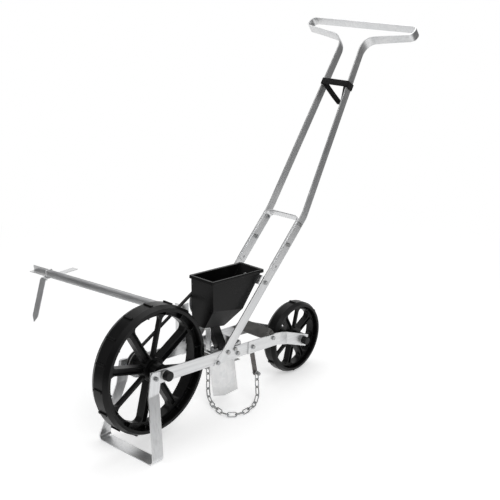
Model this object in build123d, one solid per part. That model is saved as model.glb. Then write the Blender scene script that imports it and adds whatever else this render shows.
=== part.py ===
from build123d import *
import math
import os

# Walk-behind seed planter, standing on its kickstand. Millimetres, +Z up.
# +X is the machine's left, -Y is forward, the origin is under the kickstand foot.

# Wheels
FRONT_RADIUS = 170.5
FRONT_HALF_WIDTH = 29.0
FRONT_HUB_RADIUS = 22.0
FRONT_HUB_HALF = 39.0
FRONT_RING_RADIUS = 143.0
FRONT_LIFT = 26.5
REAR_RADIUS = 107.0
REAR_HALF_WIDTH = 21.0
REAR_HUB_RADIUS = 18.0
REAR_HUB_HALF = 34.0
REAR_RING_RADIUS = 87.0
LUG_HEIGHT = 3.5
LUG_WIDTH = 6.0
FRONT_LUGS = 16
REAR_LUGS = 6
RING_THICKNESS = 4.0
RING_OVERHANG = 1.5
CROWN_SHARE = 0.55
SHOULDER_DROP = 7.0
PANEL_LIP = 8.0
PANEL_DEPTH = 19.0
RIM_WEB = 4.0
RIB_THICKNESS = 2.5
RIB_COUNT = 16
RIB_SETBACK = 9.0
SPOKE_COUNT = 8
SPOKE_START = 29.0
SLIM_SPOKES = (1, 4, 7)
BROAD_SPOKE_WIDTH = 18.0
BROAD_SPOKE_HALF_DEPTH = 11.0
SPOKE_WALL = 3.0
SPOKE_WEB_HALF = 5.0
POCKET_SETBACK = 4.0
SLIM_SPOKE_WIDTH = 8.0
SLIM_SPOKE_HALF_DEPTH = 6.0
WINDOW_CORNER = 15.0
HUB_CORNER_SHARE = 0.6
WINDOW_SINK = 1.0
HUB_FLARE = 9.0
HUB_FLARE_HALF = 13.0

# Axles
AXLE_SETBACK = 76.0
WHEELBASE = 544.5
AXLE_RADIUS = 6.0
AXLE_TIP = 10.0
BUSH_WALL = 4.0
BUSH_LENGTH = 20.0
CAP_RADIUS = 12.8
REAR_CAP_RADIUS = 10.8
CAP_LENGTH = 14.0
CAP_ROUND = 2.0
WASHER_RADIUS = 13.5
WASHER_THICKNESS = 1.5
SPACER_WALL = 4.0

# Clearances
RUN_CLEAR = 0.05
SIDE_GAP = 0.3
HOLE_CLEAR = 0.25

# Frame bars
BAR_WIDTH = 34.0
BAR_THICKNESS = 3.0
BAR_DROP = 5.4
FRAME_HALF = 56.0
BAR_NOSE = 50.0
BAR_TAIL = 341.0
BAR_CORNER = 15.0
ARM_START = 297.0
ARM_BEND = 420.0
ARM_BEND_RADIUS = 80.0
ARM_END = 18.0
REAR_HALF = 42.0
JOGGLE_START = 497.0
JOGGLE_END = 549.0
JOGGLE_RADIUS = 15.0

# Fasteners
BOLT_RADIUS = 3.0
HEX_RADIUS = 5.8
HEAD_THICKNESS = 4.0
NUT_THICKNESS = 5.0
BOLT_TIP = 2.0
SMALL_BOLT_RADIUS = 2.0
SMALL_HEAD_RADIUS = 3.5
SMALL_HEAD_THICKNESS = 2.0
FOOT_BOLT_AT = 180.5
FOOT_BOLT_DROP = 12.0
CROSS_BOLT_AT = 217.0
CROSS_BOLT_RISE = 8.0
SHOE_BOLT_FRONT = 246.5
SHOE_BOLT_FRONT_RISE = 9.0
SHOE_BOLT_REAR = 257.5
SHOE_BOLT_REAR_RISE = -5.0
JOINT_BOLT_AT = 314.0
TAIL_BOLT_AT = 395.0
TAIL_BOLT_RISE = 7.0

# Kickstand
STAND_WIDTH = 34.0
STAND_THICKNESS = 3.0
STAND_PIVOT = 36.0
STAND_TOP = 17.0
STAND_FOOT_HALF = 102.9
STAND_SPLAY_HEIGHT = 160.0
STAND_SPLAY_RADIUS = 25.0
STAND_FOOT_RADIUS = 11.0

# Handles
HANDLE_SETBACK = 200.7
HANDLE_ANGLE = 44.3
HANDLE_WIDTH = 30.0
HANDLE_END = 427.0
HANDLE_CORNER = 6.0
SPARE_HOLE_AT = 279.0
HANDLE_BOLT_LOW = 346.5
HANDLE_BOLT_HIGH = 412.5
GRIP_WIDTH = 25.0
GRIP_THICKNESS = 3.0
GRIP_START = 267.0
GRIP_BEND = 442.0
GRIP_BEND_RADIUS = 90.0
TEE_ANGLE = 36.5
TEE_SETBACK = 843.8
TEE_HEIGHT = 960.2
TEE_RUN = 48.4
TEE_HALF = 181.0
TEE_END_GAP = 32.0
TEE_ROOT_GAP = 58.3
TEE_ROOT_HALF = 34.6
TEE_END_RADIUS = 14.5
TEE_ROOT_RADIUS = 38.0
GRIP_SPREAD_RADIUS = 80.0
BRACE_LOW = 269.0
BRACE_HIGH = 431.0
BRACE_WIDTH = 25.0
BRACE_RADIUS = 12.0
STRAP_DOWN = 147.0
STRAP_WIDTH = 18.0
STRAP_THICKNESS = 2.0
STRAP_DROP = 31.0
STRAP_TIP = 68.0
STRAP_TIP_HALF = 5.0
STRAP_CORNER = 3.0
STRAP_GAP = 1.2

# Cross strips and brackets
STRIP_THICKNESS = 3.0
TAIL_STRIP_AT = 376.0
TAIL_STRIP_RISE = 21.5
TAIL_STRIP_TILT = 30.0
TAIL_STRIP_WIDTH = 37.0
TAIL_FLANGE = 34.0
TAIL_EAR = 16.0
CORNER_RADIUS = 8.0
CROSS_STRIP_WIDTH = 30.0
CROSS_STRIP_HEIGHT = 170.0
CROSS_FLANGE_TOP = 192.0
CROSS_CORNER_RADIUS = 5.0
SUPPORT_WIDTH = 16.0
SUPPORT_RADIUS = 6.0
SUPPORT_BOLT_SETBACK = 38.0
SUPPORT_FOOT = 27.0
SUPPORT_SIDE = -1.0
SUPPORT_FLANGE = 2.0
SUPPORT_FLANGE_BOLT = 10.0
SUPPORT_LEG = 23.0
REAR_BRACKET_DROP = 37.0
REAR_BRACKET_WIDTH = 26.0
REAR_BRACKET_EDGE = 9.5

# Hopper
HOPPER_SETBACK = 182.0
HOPPER_TOP = 383.0
HOPPER_WALL = 2.5
HOPPER_TOP_LENGTH = 186.0
RIM_FALL = 4.75
REAR_WALL_ANGLE = 49.6
HOPPER_LEFT = 41.0
HOPPER_RIGHT = 37.0
FLOOR_LEFT = 9.0
FLOOR_FALL = 0.22
HOPPER_CORNER = 6.0
RIM_HALF = 44.0
RIM_FRONT = 4.0
RIM_LENGTH = 198.0
RIM_HEIGHT = 8.0
RIM_CORNER = 7.0
RIM_ROUND = 2.5

# Seed chute
CHUTE_FRONT = 29.0
CHUTE_DEPTH = 30.0
CHUTE_LEFT = 6.0
CHUTE_RIGHT = 16.0
CHUTE_WALL = 2.0
CHUTE_SHIFT = 37.8
CHUTE_LOW = 148.0
CHUTE_FLANGE = 12.0
CHUTE_SCREW_INSET = 6.0
CHUTE_FLANGE_THICKNESS = 3.0

# Seed drive
PLATE_SETBACK = 236.0
PLATE_HEIGHT = 300.0
PLATE_OVER_FLOOR = 52.0
CREASE_OVER_PLATE = 3.0
PLATE_RADIUS = 50.0
PLATE_THICKNESS = 3.0
PLATE_BORE = 20.0
PLATE_NOTCH_WIDTH = 6.0
PLATE_NOTCH_DEPTH = 4.0
PLATE_NOTCHES = 3
CELL_COUNT = 11
CELL_RADIUS = 3.2
CELL_CIRCLE = 43.5
HUB_FLANGE_RADIUS = 26.0
HUB_FLANGE_THICKNESS = 2.5
RETAINER_RADIUS = 27.0
RETAINER_THICKNESS = 3.0
KNOB_RADIUS = 9.0
KNOB_LENGTH = 9.0
SHAFT_RADIUS = 6.0
SHAFT_BUSH_WALL = 3.0
SHAFT_FLANGE = 3.0
SHAFT_FLANGE_THICKNESS = 1.5
DRIVE_BELT_RADIUS = 32.0
DRIVEN_BELT_RADIUS = 46.0
BELT_WIDTH = 7.0
BELT_THICKNESS = 5.0
PULLEY_WIDTH = 11.0
PULLEY_LIP = 4.0
PULLEY_SIDE = 39.0
PULLEY_GAP = 2.0
PULLEY_SCREWS = 3
PULLEY_SCREW_CIRCLE = 16.0
PULLEY_SCREW_REACH = 9.0

# Ground opener
SHOE_SETBACK = 206.0
SHOE_DROP = 28.0
SHOE_LEAN = 8.0
SHOE_HALF = 21.0
SHOE_NOSE = 23.0
SHOE_LENGTH = 76.0
SHOE_SHEET = 1.5
SHOE_BOTTOM = 38.0
SHOE_REACH = 160.0
SHOE_NOSE_RADIUS = 3.0
YOKE_LOW = 4.0
YOKE_HIGH = 36.0
YOKE_FRONT = 38.0
TONGUE_HALF = 14.0
TONGUE_LOW = 86.0
SLOT_HIGH = 26.0
SLOT_LOW = 74.0
DEPTH_BOLT_DOWN = 45.0
DEPTH_HEAD_RADIUS = 7.0
DEPTH_HEAD_THICKNESS = 3.0
DEPTH_BOLT_REACH = 24.0
WING_HUB_RADIUS = 6.0
WING_HUB_LENGTH = 11.0
WING_SPAN = 15.0
WING_RISE = 10.0
WING_THICKNESS = 2.5

# Drag chain
CHAIN_STRAP_WIDTH = 15.0
CHAIN_STRAP_THICKNESS = 2.5
LEFT_STRAP_LENGTH = 85.0
LEFT_STRAP_LEAN = 11.3
RIGHT_STRAP_LENGTH = 74.0
RIGHT_STRAP_LEAN = -3.0
CHAIN_BOLT_REACH = 14.0
LINK_LENGTH = 29.0
LINK_WIDTH = 14.5
LINK_WIRE = 1.65
LINK_PITCH = 22.0
CHAIN_REST = 8.2
CHAIN_HANG = 5.0
CHAIN_LAY = ((13, -20), (22, -43), (27, -70), (24, -96), (12, -116), (-9, -123), (-43, -116))
CHAIN_LAY_END = (34, -24)
CHAIN_RISE_SETBACK = 11.0
ROUTE_STEPS = 2000
PITCH_STEPS = 40
QUARTER_TURN = 90.0

# Row marker
POST_WIDTH = 25.0
POST_THICKNESS = 3.0
POST_SETBACK = 170.0
POST_OVER_PIVOT = 16.0
POST_LOW = 158.0
POST_BOLT_HEIGHT = 192.0
POST_BOLT_BACK = 12.5
POST_SPACER_RADIUS = 6.5
ARM_PIVOT_OUT = 16.0
ARM_PIVOT_HEIGHT = 282.0
ARM_DROOP = 3.2
ARM_LEG_UP = 8.0
ARM_LEG_DOWN = 9.4
ARM_FLANGE = 18.0
ARM_THICKNESS = 2.0
ARM_INNER = 12.0
ARM_OUTER = 624.0
MARKER_AT = 538.0
MARKER_WIDTH = 25.0
MARKER_THICKNESS = 2.0
MARKER_REAR = 87.0
MARKER_FRONT = 32.0
MARKER_TIP_FORWARD = 79.0
MARKER_TIP_DOWN = 131.0
MARKER_POINT = 16.0
MARKER_RADIUS = 10.0
CLIP_WIRE = 1.6
CLIP_DROP = 8.0
CLIP_RADIUS = 2.0
CLIP_NUT_RADIUS = 3.8
CLIP_NUT_THICKNESS = 3.0

# Reach of cutting and trimming shapes past the pieces they trim
FAR = 600.0

front_axle_y = AXLE_SETBACK
front_axle_z = FRONT_RADIUS + FRONT_LIFT
rear_axle_y = AXLE_SETBACK + WHEELBASE
rear_axle_z = REAR_RADIUS
bar_cos = math.cos(math.radians(BAR_DROP))
bar_sin = math.sin(math.radians(BAR_DROP))
handle_cos = math.cos(math.radians(HANDLE_ANGLE))
handle_sin = math.sin(math.radians(HANDLE_ANGLE))
tee_cos = math.cos(math.radians(TEE_ANGLE))
tee_sin = math.sin(math.radians(TEE_ANGLE))
bar_inner = FRAME_HALF - BAR_THICKNESS
arm_outer = FRAME_HALF + BAR_THICKNESS
grip_outer = arm_outer + GRIP_THICKNESS
stand_outer = FRAME_HALF + STAND_THICKNESS + 2 * SIDE_GAP
hole_radius = BOLT_RADIUS + HOLE_CLEAR


def along_bar(distance, rise=0.0):
    """Point (y, z) behind the front axle along the side bars, raised square to them."""
    y = front_axle_y + distance * bar_cos + rise * bar_sin
    z = front_axle_z - distance * bar_sin + rise * bar_cos
    return y, z


handle_root = along_bar(HANDLE_SETBACK)


def along_handle(distance, rise=0.0):
    """Point (y, z) up the lower handle bars from the side bars, raised square to them."""
    y = handle_root[0] + distance * handle_cos - rise * handle_sin
    z = handle_root[1] + distance * handle_sin + rise * handle_cos
    return y, z


foot_bolt = along_bar(FOOT_BOLT_AT, -FOOT_BOLT_DROP)
cross_bolt = along_bar(CROSS_BOLT_AT, CROSS_BOLT_RISE)
shoe_bolts = [
    along_bar(SHOE_BOLT_FRONT, SHOE_BOLT_FRONT_RISE),
    along_bar(SHOE_BOLT_REAR, SHOE_BOLT_REAR_RISE),
]
joint_bolt = along_bar(JOINT_BOLT_AT)
tail_bolt = along_bar(TAIL_BOLT_AT, TAIL_BOLT_RISE)
stand_pivot = along_bar(-STAND_PIVOT)
handle_bolts_at = [along_handle(HANDLE_BOLT_LOW), along_handle(HANDLE_BOLT_HIGH)]


def path(points, radius):
    """Line through the points with its corners rounded."""
    return FilletPolyline(*points, radius=radius)


def band(points, radius, width):
    """Flat strip of even width along a rounded path."""
    return trace(path(points, radius), line_width=width)


def outline(*points):
    """Straight-edged outline whose face looks up whichever way its points run."""
    turn = sum(a[0] * b[1] - b[0] * a[1] for a, b in zip(points, points[1:] + points[:1]))
    return Polygon(*(points if turn > 0 else points[::-1]), align=None)


def side_plate(sketch, low, high):
    """Plate drawn in side view (y, z), from x = low to x = high."""
    return extrude(Plane.YZ.offset(low) * sketch, high - low, dir=(1, 0, 0))


def side_prism(sketch, half):
    """Side-view outline carried across the machine to both sides."""
    return side_plate(sketch, -half, half)


def front_prism(sketch, low, high):
    """Plate drawn in front view (x, z), from y = low to y = high."""
    return extrude(Plane.XZ.offset(-low) * sketch, high - low, dir=(0, 1, 0))


def holes(points, radius):
    """Round holes in a side-view sketch."""
    return [Pos(y, z) * Circle(radius) for y, z in points]


def cross_drills(points, radius):
    """Round cutters across the whole machine."""
    return [side_prism(Pos(y, z) * Circle(radius), FAR) for y, z in points]


def mirrored(solid):
    return mirror(solid, about=Plane.YZ)


def group(solids):
    """Separate pieces of one kind kept together in one node."""
    return Compound(children=list(solids))


def bolt(plane, grip, radius=BOLT_RADIUS, head=HEX_RADIUS, thick=HEAD_THICKNESS):
    """Hex bolt whose head sits on the plane, with its shank running against the normal."""
    crown = extrude(plane * RegularPolygon(head, 6), thick)
    shank = extrude(plane * Circle(radius), -grip)
    return crown + shank


def nut(plane, radius=BOLT_RADIUS, hexagon=HEX_RADIUS, thick=NUT_THICKNESS):
    """Hex nut standing on the plane."""
    face = RegularPolygon(hexagon, 6) - Circle(radius + RUN_CLEAR)
    return extrude(plane * face, thick)


def facing(x, at, side):
    """Plane square to the X axis on one side of the machine, facing outward."""
    return Plane(origin=(side * x, at[0], at[1]), x_dir=(0, 1, 0), z_dir=(side, 0, 0))


def inward(x, at, side):
    """Plane square to the X axis on one side of the machine, facing the middle."""
    return Plane(origin=(side * x, at[0], at[1]), x_dir=(0, 1, 0), z_dir=(-side, 0, 0))


def through_bolt(at, outer, inner, side):
    grip = outer - inner + NUT_THICKNESS + BOLT_TIP
    return bolt(facing(outer, at, side), grip)


def through_nut(at, inner, side):
    return nut(inward(inner, at, side))


def ring(outer, inner, low, high, y, z):
    """Tube along X."""
    return side_plate(Pos(y, z) * (Circle(outer) - Circle(inner)), low, high)


# Wheels


def rim(tread, half, ring_radius, scale):
    """Rim turned about X: crowned tread on a web, with a narrow ring that carries the spokes."""
    crown = half * CROWN_SHARE
    shoulder = tread - SHOULDER_DROP * scale
    low = ring_radius - RING_THICKNESS
    section = outline(
        (half, low), (half, shoulder), (crown, tread), (-crown, tread), (-half, shoulder), (-half, low),
    )
    high = shoulder - PANEL_LIP * scale
    panel = half - PANEL_DEPTH * scale
    web = panel - RIM_WEB * scale
    section -= outline((panel, ring_radius), (FAR, ring_radius), (FAR, high), (panel, high))
    section -= outline((web, ring_radius), (-FAR, ring_radius), (-FAR, high), (web, high))
    edge = BROAD_SPOKE_HALF_DEPTH * scale + RING_OVERHANG
    section -= outline((edge, 0), (FAR, 0), (FAR, ring_radius), (edge, ring_radius))
    section -= outline((-edge, 0), (-FAR, 0), (-FAR, ring_radius), (-edge, ring_radius))
    return revolve(section, Axis.X)


def spoke_turn(number):
    return SPOKE_START + number * 360 / SPOKE_COUNT


def spoke_frame(flare, ring_in, numbers, scale):
    """Side view of the hub disc and the numbered spokes, with rounded windows between them."""
    low = flare - WINDOW_SINK
    high = ring_in + WINDOW_SINK
    gaps = Circle(high) - Circle(low)
    for number in numbers:
        width = (SLIM_SPOKE_WIDTH if number in SLIM_SPOKES else BROAD_SPOKE_WIDTH) * scale
        gaps -= Rot(0, 0, spoke_turn(number)) * Pos(high, 0) * Rectangle(2 * high, width)
    hub_gap = 2 * low * math.sin(math.pi / SPOKE_COUNT) - BROAD_SPOKE_WIDTH * scale
    face = Circle(ring_in + RING_THICKNESS / 2)
    for gap in gaps.faces():
        inner = gap.vertices().sort_by_distance((0, 0, 0))[:2]
        gap = gap.fillet_2d(HUB_CORNER_SHARE * hub_gap, inner)
        outer = gap.vertices().sort_by_distance((0, 0, 0))[-2:]
        face -= gap.fillet_2d(WINDOW_CORNER * scale, outer)
    return face


def wheel(radius, half, hub_radius, hub_half, ring_radius, lugs, scale, y, z):
    """Spoked plastic wheel about X: rim with ribs, spokes, hub and tread lugs."""
    tread = radius - LUG_HEIGHT
    ring_in = ring_radius - RING_THICKNESS
    flare = hub_radius + HUB_FLARE
    every = range(SPOKE_COUNT)
    broad = [number for number in every if number not in SLIM_SPOKES]
    depth = BROAD_SPOKE_HALF_DEPTH * scale
    adds = [
        side_prism(spoke_frame(flare, ring_in, every, scale), SLIM_SPOKE_HALF_DEPTH * scale),
        side_prism(spoke_frame(flare, ring_in, broad, scale), depth),
        side_prism(Circle(flare), HUB_FLARE_HALF * scale),
        side_prism(Circle(hub_radius), hub_half),
    ]
    cuts = []
    pocket = ring_in - flare - 2 * POCKET_SETBACK
    pocket_mid = (ring_in + flare) / 2
    hollow = Box(depth, pocket, BROAD_SPOKE_WIDTH * scale - 2 * SPOKE_WALL)
    for number in broad:
        for side in (1, -1):
            place = Pos(side * (SPOKE_WEB_HALF * scale + depth / 2), pocket_mid, 0)
            cuts.append(Rot(spoke_turn(number), 0, 0) * place * hollow)
    rib_low = ring_radius - RING_THICKNESS / 2
    rib_high = tread - (SHOULDER_DROP + PANEL_LIP / 2) * scale
    rib = Box(2 * (half - RIB_SETBACK), rib_high - rib_low, RIB_THICKNESS)
    for number in range(RIB_COUNT):
        turn = Rot(SPOKE_START + number * 360 / RIB_COUNT, 0, 0)
        adds.append(turn * Pos(0, (rib_low + rib_high) / 2, 0) * rib)
    lug = Box(2 * half * CROWN_SHARE - LUG_HEIGHT, 2 * LUG_HEIGHT, LUG_WIDTH)
    for number in range(lugs):
        turn = Rot(-90 + number * 360 / lugs, 0, 0)
        adds.append(turn * Pos(0, radius - LUG_HEIGHT, 0) * lug)
    body = rim(tread, half, ring_radius, scale) + adds
    body = body - cuts
    bore = AXLE_RADIUS + BUSH_WALL + RUN_CLEAR
    body = body - side_prism(Circle(bore), FAR)
    return Pos(0, y, z) * body


def pulley_screw_points():
    points = []
    for number in range(PULLEY_SCREWS):
        angle = math.radians(90 + number * 360 / PULLEY_SCREWS)
        points.append((
            front_axle_y + PULLEY_SCREW_CIRCLE * math.cos(angle),
            front_axle_z + PULLEY_SCREW_CIRCLE * math.sin(angle),
        ))
    return points


def front_wheel():
    body = wheel(
        FRONT_RADIUS, FRONT_HALF_WIDTH, FRONT_HUB_RADIUS, FRONT_HUB_HALF, FRONT_RING_RADIUS,
        FRONT_LUGS, 1.0, front_axle_y, front_axle_z,
    )
    for at in pulley_screw_points():
        pilot = Pos(*at) * Circle(SMALL_BOLT_RADIUS + RUN_CLEAR)
        body -= side_plate(pilot, -FRONT_HUB_HALF, -FRONT_HUB_HALF + PULLEY_SCREW_REACH + BOLT_TIP)
    return body


def rear_wheel():
    scale = REAR_HUB_RADIUS / FRONT_HUB_RADIUS
    return wheel(
        REAR_RADIUS, REAR_HALF_WIDTH, REAR_HUB_RADIUS, REAR_HUB_HALF, REAR_RING_RADIUS,
        REAR_LUGS, scale, rear_axle_y, rear_axle_z,
    )


def bushes(hub_half, y, z):
    outer = AXLE_RADIUS + BUSH_WALL
    inner = AXLE_RADIUS + RUN_CLEAR
    left = ring(outer, inner, hub_half - BUSH_LENGTH, hub_half, y, z)
    return group([left, mirrored(left)])


def axle(half, y, z):
    end = half + WASHER_THICKNESS + AXLE_TIP
    return side_prism(Pos(y, z) * Circle(AXLE_RADIUS), end - RUN_CLEAR)


def axle_washers(half, y, z):
    left = ring(WASHER_RADIUS, AXLE_RADIUS + RUN_CLEAR, half, half + WASHER_THICKNESS, y, z)
    return [left, mirrored(left)]


def axle_caps(radius, half, y, z):
    low = half + WASHER_THICKNESS
    cap = side_plate(Pos(y, z) * Circle(radius), low, low + CAP_LENGTH)
    rim = cap.edges().filter_by(GeomType.CIRCLE).sort_by(Axis.X)[-1]
    cap = fillet(rim, CAP_ROUND)
    cap -= side_plate(Pos(y, z) * Circle(AXLE_RADIUS + RUN_CLEAR), low, low + AXLE_TIP)
    return [cap, mirrored(cap)]


def wheel_spacers():
    outer = AXLE_RADIUS + SPACER_WALL
    inner = AXLE_RADIUS + RUN_CLEAR
    rear_inner = REAR_HALF - BAR_THICKNESS
    pulley_end = PULLEY_SIDE + PULLEY_WIDTH
    front_left = ring(outer, inner, FRONT_HUB_HALF + SIDE_GAP, bar_inner, front_axle_y, front_axle_z)
    front_right = ring(outer, inner, -bar_inner, -pulley_end - SIDE_GAP, front_axle_y, front_axle_z)
    rear_left = ring(outer, inner, REAR_HUB_HALF + SIDE_GAP, rear_inner, rear_axle_y, rear_axle_z)
    return group([front_left, front_right, rear_left, mirrored(rear_left)])


# Side frame


def front_bar(side_holes):
    """Left side bar: square upper nose corner, rounded lower one."""
    nose_low = along_bar(-BAR_NOSE, -BAR_WIDTH / 2)
    face = outline(
        along_bar(-BAR_NOSE, BAR_WIDTH / 2), along_bar(BAR_TAIL, BAR_WIDTH / 2),
        along_bar(BAR_TAIL, -BAR_WIDTH / 2), nose_low,
    )
    corner = face.vertices().sort_by_distance((nose_low[0], nose_low[1], 0))[0]
    face = fillet(corner, BAR_CORNER)
    face -= holes(side_holes, hole_radius)
    face -= holes([(front_axle_y, front_axle_z)], AXLE_RADIUS + RUN_CLEAR)
    return side_plate(face, bar_inner, FRAME_HALF)


def rear_arm():
    """Left rear arm: bent down edgewise, then joggled in to the rear wheel."""
    fall = math.atan2(along_bar(ARM_BEND)[1] - rear_axle_z, rear_axle_y - along_bar(ARM_BEND)[0])
    end = (rear_axle_y + ARM_END * math.cos(fall), rear_axle_z - ARM_END * math.sin(fall))
    side = band([along_bar(ARM_START), along_bar(ARM_BEND), end], ARM_BEND_RADIUS, BAR_WIDTH)
    side -= holes([joint_bolt, tail_bolt], hole_radius)
    side -= holes([(rear_axle_y, rear_axle_z)], AXLE_RADIUS + RUN_CLEAR)
    wide = FRAME_HALF + BAR_THICKNESS / 2
    narrow = REAR_HALF - BAR_THICKNESS / 2
    bends = [(wide, 0), (wide, JOGGLE_START), (narrow, JOGGLE_END), (narrow, rear_axle_y + FAR)]
    plan = band(bends, JOGGLE_RADIUS, BAR_THICKNESS)
    return side_prism(side, FAR) & extrude(plan, FAR, dir=(0, 0, 1))


def tail_strip():
    """Tilted cross strip between the rear arms, with ears bent down onto their inner faces."""
    mid = FRAME_HALF - STRIP_THICKNESS / 2
    at = along_bar(TAIL_STRIP_AT, TAIL_STRIP_RISE)
    tilt = math.radians(TAIL_STRIP_TILT)
    slope = (0, math.cos(tilt), math.sin(tilt))
    plane = Plane(origin=(0, at[0], at[1]), x_dir=(1, 0, 0), z_dir=slope)
    bends = [(mid, TAIL_FLANGE), (mid, 0), (-mid, 0), (-mid, TAIL_FLANGE)]
    rear = plane.offset(TAIL_STRIP_WIDTH / 2)
    ears = extrude(rear * band(bends, CORNER_RADIUS, STRIP_THICKNESS), -TAIL_EAR)
    flat = Rectangle(2 * FRAME_HALF - 2 * SIDE_GAP, STRIP_THICKNESS)
    strip = extrude(plane.offset(TAIL_STRIP_WIDTH / 2 - TAIL_EAR) * flat, TAIL_EAR - TAIL_STRIP_WIDTH)
    return ears + strip - cross_drills([tail_bolt], hole_radius)


def cross_strip():
    """Front cross strip between the side bars, under the hopper support."""
    mid = bar_inner - STRIP_THICKNESS / 2
    bends = [
        (mid, CROSS_FLANGE_TOP), (mid, CROSS_STRIP_HEIGHT),
        (-mid, CROSS_STRIP_HEIGHT), (-mid, CROSS_FLANGE_TOP),
    ]
    low = cross_bolt[0] - CROSS_STRIP_WIDTH / 2
    strip = front_prism(band(bends, CROSS_CORNER_RADIUS, STRIP_THICKNESS), low, low + CROSS_STRIP_WIDTH)
    strip -= cross_drills([cross_bolt], hole_radius)
    return strip - extrude(Pos(SUPPORT_SIDE, support_bolt_y) * Circle(hole_radius), FAR)


# Kickstand


def kickstand():
    """One strip bent to a U: legs outside the side bars, splayed to a wide flat foot."""
    leg = FRAME_HALF + SIDE_GAP + STAND_THICKNESS / 2
    foot = STAND_FOOT_HALF - STAND_THICKNESS / 2
    low = STAND_THICKNESS / 2
    top = stand_pivot[1] + FAR
    bends = [(leg, top), (leg, STAND_SPLAY_HEIGHT), (foot, low)]
    bends += [(-x, z) for x, z in reversed(bends)]
    radii = [STAND_SPLAY_RADIUS, STAND_FOOT_RADIUS, STAND_FOOT_RADIUS, STAND_SPLAY_RADIUS]
    front = front_prism(band(bends, radii, STAND_THICKNESS), -FAR, FAR)
    lean = Vector(stand_pivot[0], stand_pivot[1]).normalized()
    below = lean * -STAND_WIDTH
    above = Vector(stand_pivot[0], stand_pivot[1]) + lean * STAND_TOP
    side = trace(Line((below.X, below.Y), (above.X, above.Y)), line_width=STAND_WIDTH)
    crown = side.vertices().sort_by(Axis.Y)[-2:]
    side = fillet(crown, STAND_TOP / 2)
    side -= holes([stand_pivot], BOLT_RADIUS + RUN_CLEAR)
    return front & side_prism(side, FAR)


# Handles


def lower_handle(side_holes):
    """Left lower handle bar: straight, its foot trimmed along the side bar."""
    edge = HANDLE_WIDTH / 2
    face = outline(
        along_handle(HANDLE_END, edge), along_handle(HANDLE_END, -edge),
        along_handle(-2 * BAR_WIDTH, -edge), along_handle(-2 * BAR_WIDTH, edge),
    )
    keep = outline(
        along_bar(0, -BAR_WIDTH / 2), along_bar(BAR_TAIL + FAR, -BAR_WIDTH / 2),
        along_bar(BAR_TAIL + FAR, FAR), along_bar(0, FAR),
    )
    face = face & keep
    ends = face.vertices().sort_by(Axis.Y)[-2:]
    face = fillet(ends, HANDLE_CORNER)
    face -= holes(side_holes, hole_radius)
    return side_plate(face, FRAME_HALF, arm_outer)


tee_y = AXLE_SETBACK + TEE_SETBACK
tee_plane = Plane(
    origin=(0, tee_y, TEE_HEIGHT), x_dir=(1, 0, 0), z_dir=(0, -tee_sin, tee_cos),
)
grip_low = along_handle(GRIP_START)
grip_bend = along_handle(GRIP_BEND)
grip_top = (tee_y - TEE_RUN * tee_cos, TEE_HEIGHT - TEE_RUN * tee_sin)


def tee_reach(at):
    """Distance of a side-view point below the crossbar, measured along the tee."""
    return (at[0] - tee_y) * tee_cos + (at[1] - TEE_HEIGHT) * tee_sin


def upper_handle():
    """One strip bent to two legs and a looped tee grip."""
    leg = arm_outer + GRIP_THICKNESS / 2
    half = [
        (leg, tee_reach(grip_low) - FAR), (leg, tee_reach(grip_bend)),
        (TEE_ROOT_HALF, -TEE_ROOT_GAP), (TEE_HALF, -TEE_END_GAP), (TEE_HALF, 0),
    ]
    bends = half + [(-x, u) for x, u in reversed(half)]
    turn = [GRIP_SPREAD_RADIUS, TEE_ROOT_RADIUS, TEE_END_RADIUS, TEE_END_RADIUS]
    face = band(bends, turn + turn[::-1], GRIP_THICKNESS)
    tee = extrude(tee_plane * face, FAR, both=True)
    beyond = (tee_y + GRIP_WIDTH * tee_cos, TEE_HEIGHT + GRIP_WIDTH * tee_sin)
    side = band([grip_low, grip_bend, grip_top, beyond], GRIP_BEND_RADIUS, GRIP_WIDTH)
    side -= holes(handle_bolts_at + [along_handle(SPARE_HOLE_AT)], hole_radius)
    return tee & side_prism(side, FAR)


def handle_plane():
    """Plane of the lower handle bars: x across, y up the handle."""
    return Plane(
        origin=(0, handle_root[0], handle_root[1]), x_dir=(1, 0, 0),
        z_dir=(0, -handle_sin, handle_cos),
    )


def handle_brace():
    """U strip inside the handle bars, sharing their bolts."""
    mid = FRAME_HALF - STRIP_THICKNESS / 2
    top = BRACE_HIGH - STRIP_THICKNESS / 2
    bends = [(mid, BRACE_LOW), (mid, top), (-mid, top), (-mid, BRACE_LOW)]
    strip = band(bends, BRACE_RADIUS, STRIP_THICKNESS)
    solid = extrude(handle_plane() * strip, BRACE_WIDTH / 2, both=True)
    return solid - cross_drills(handle_bolts_at + [along_handle(SPARE_HOLE_AT)], hole_radius)


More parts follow.
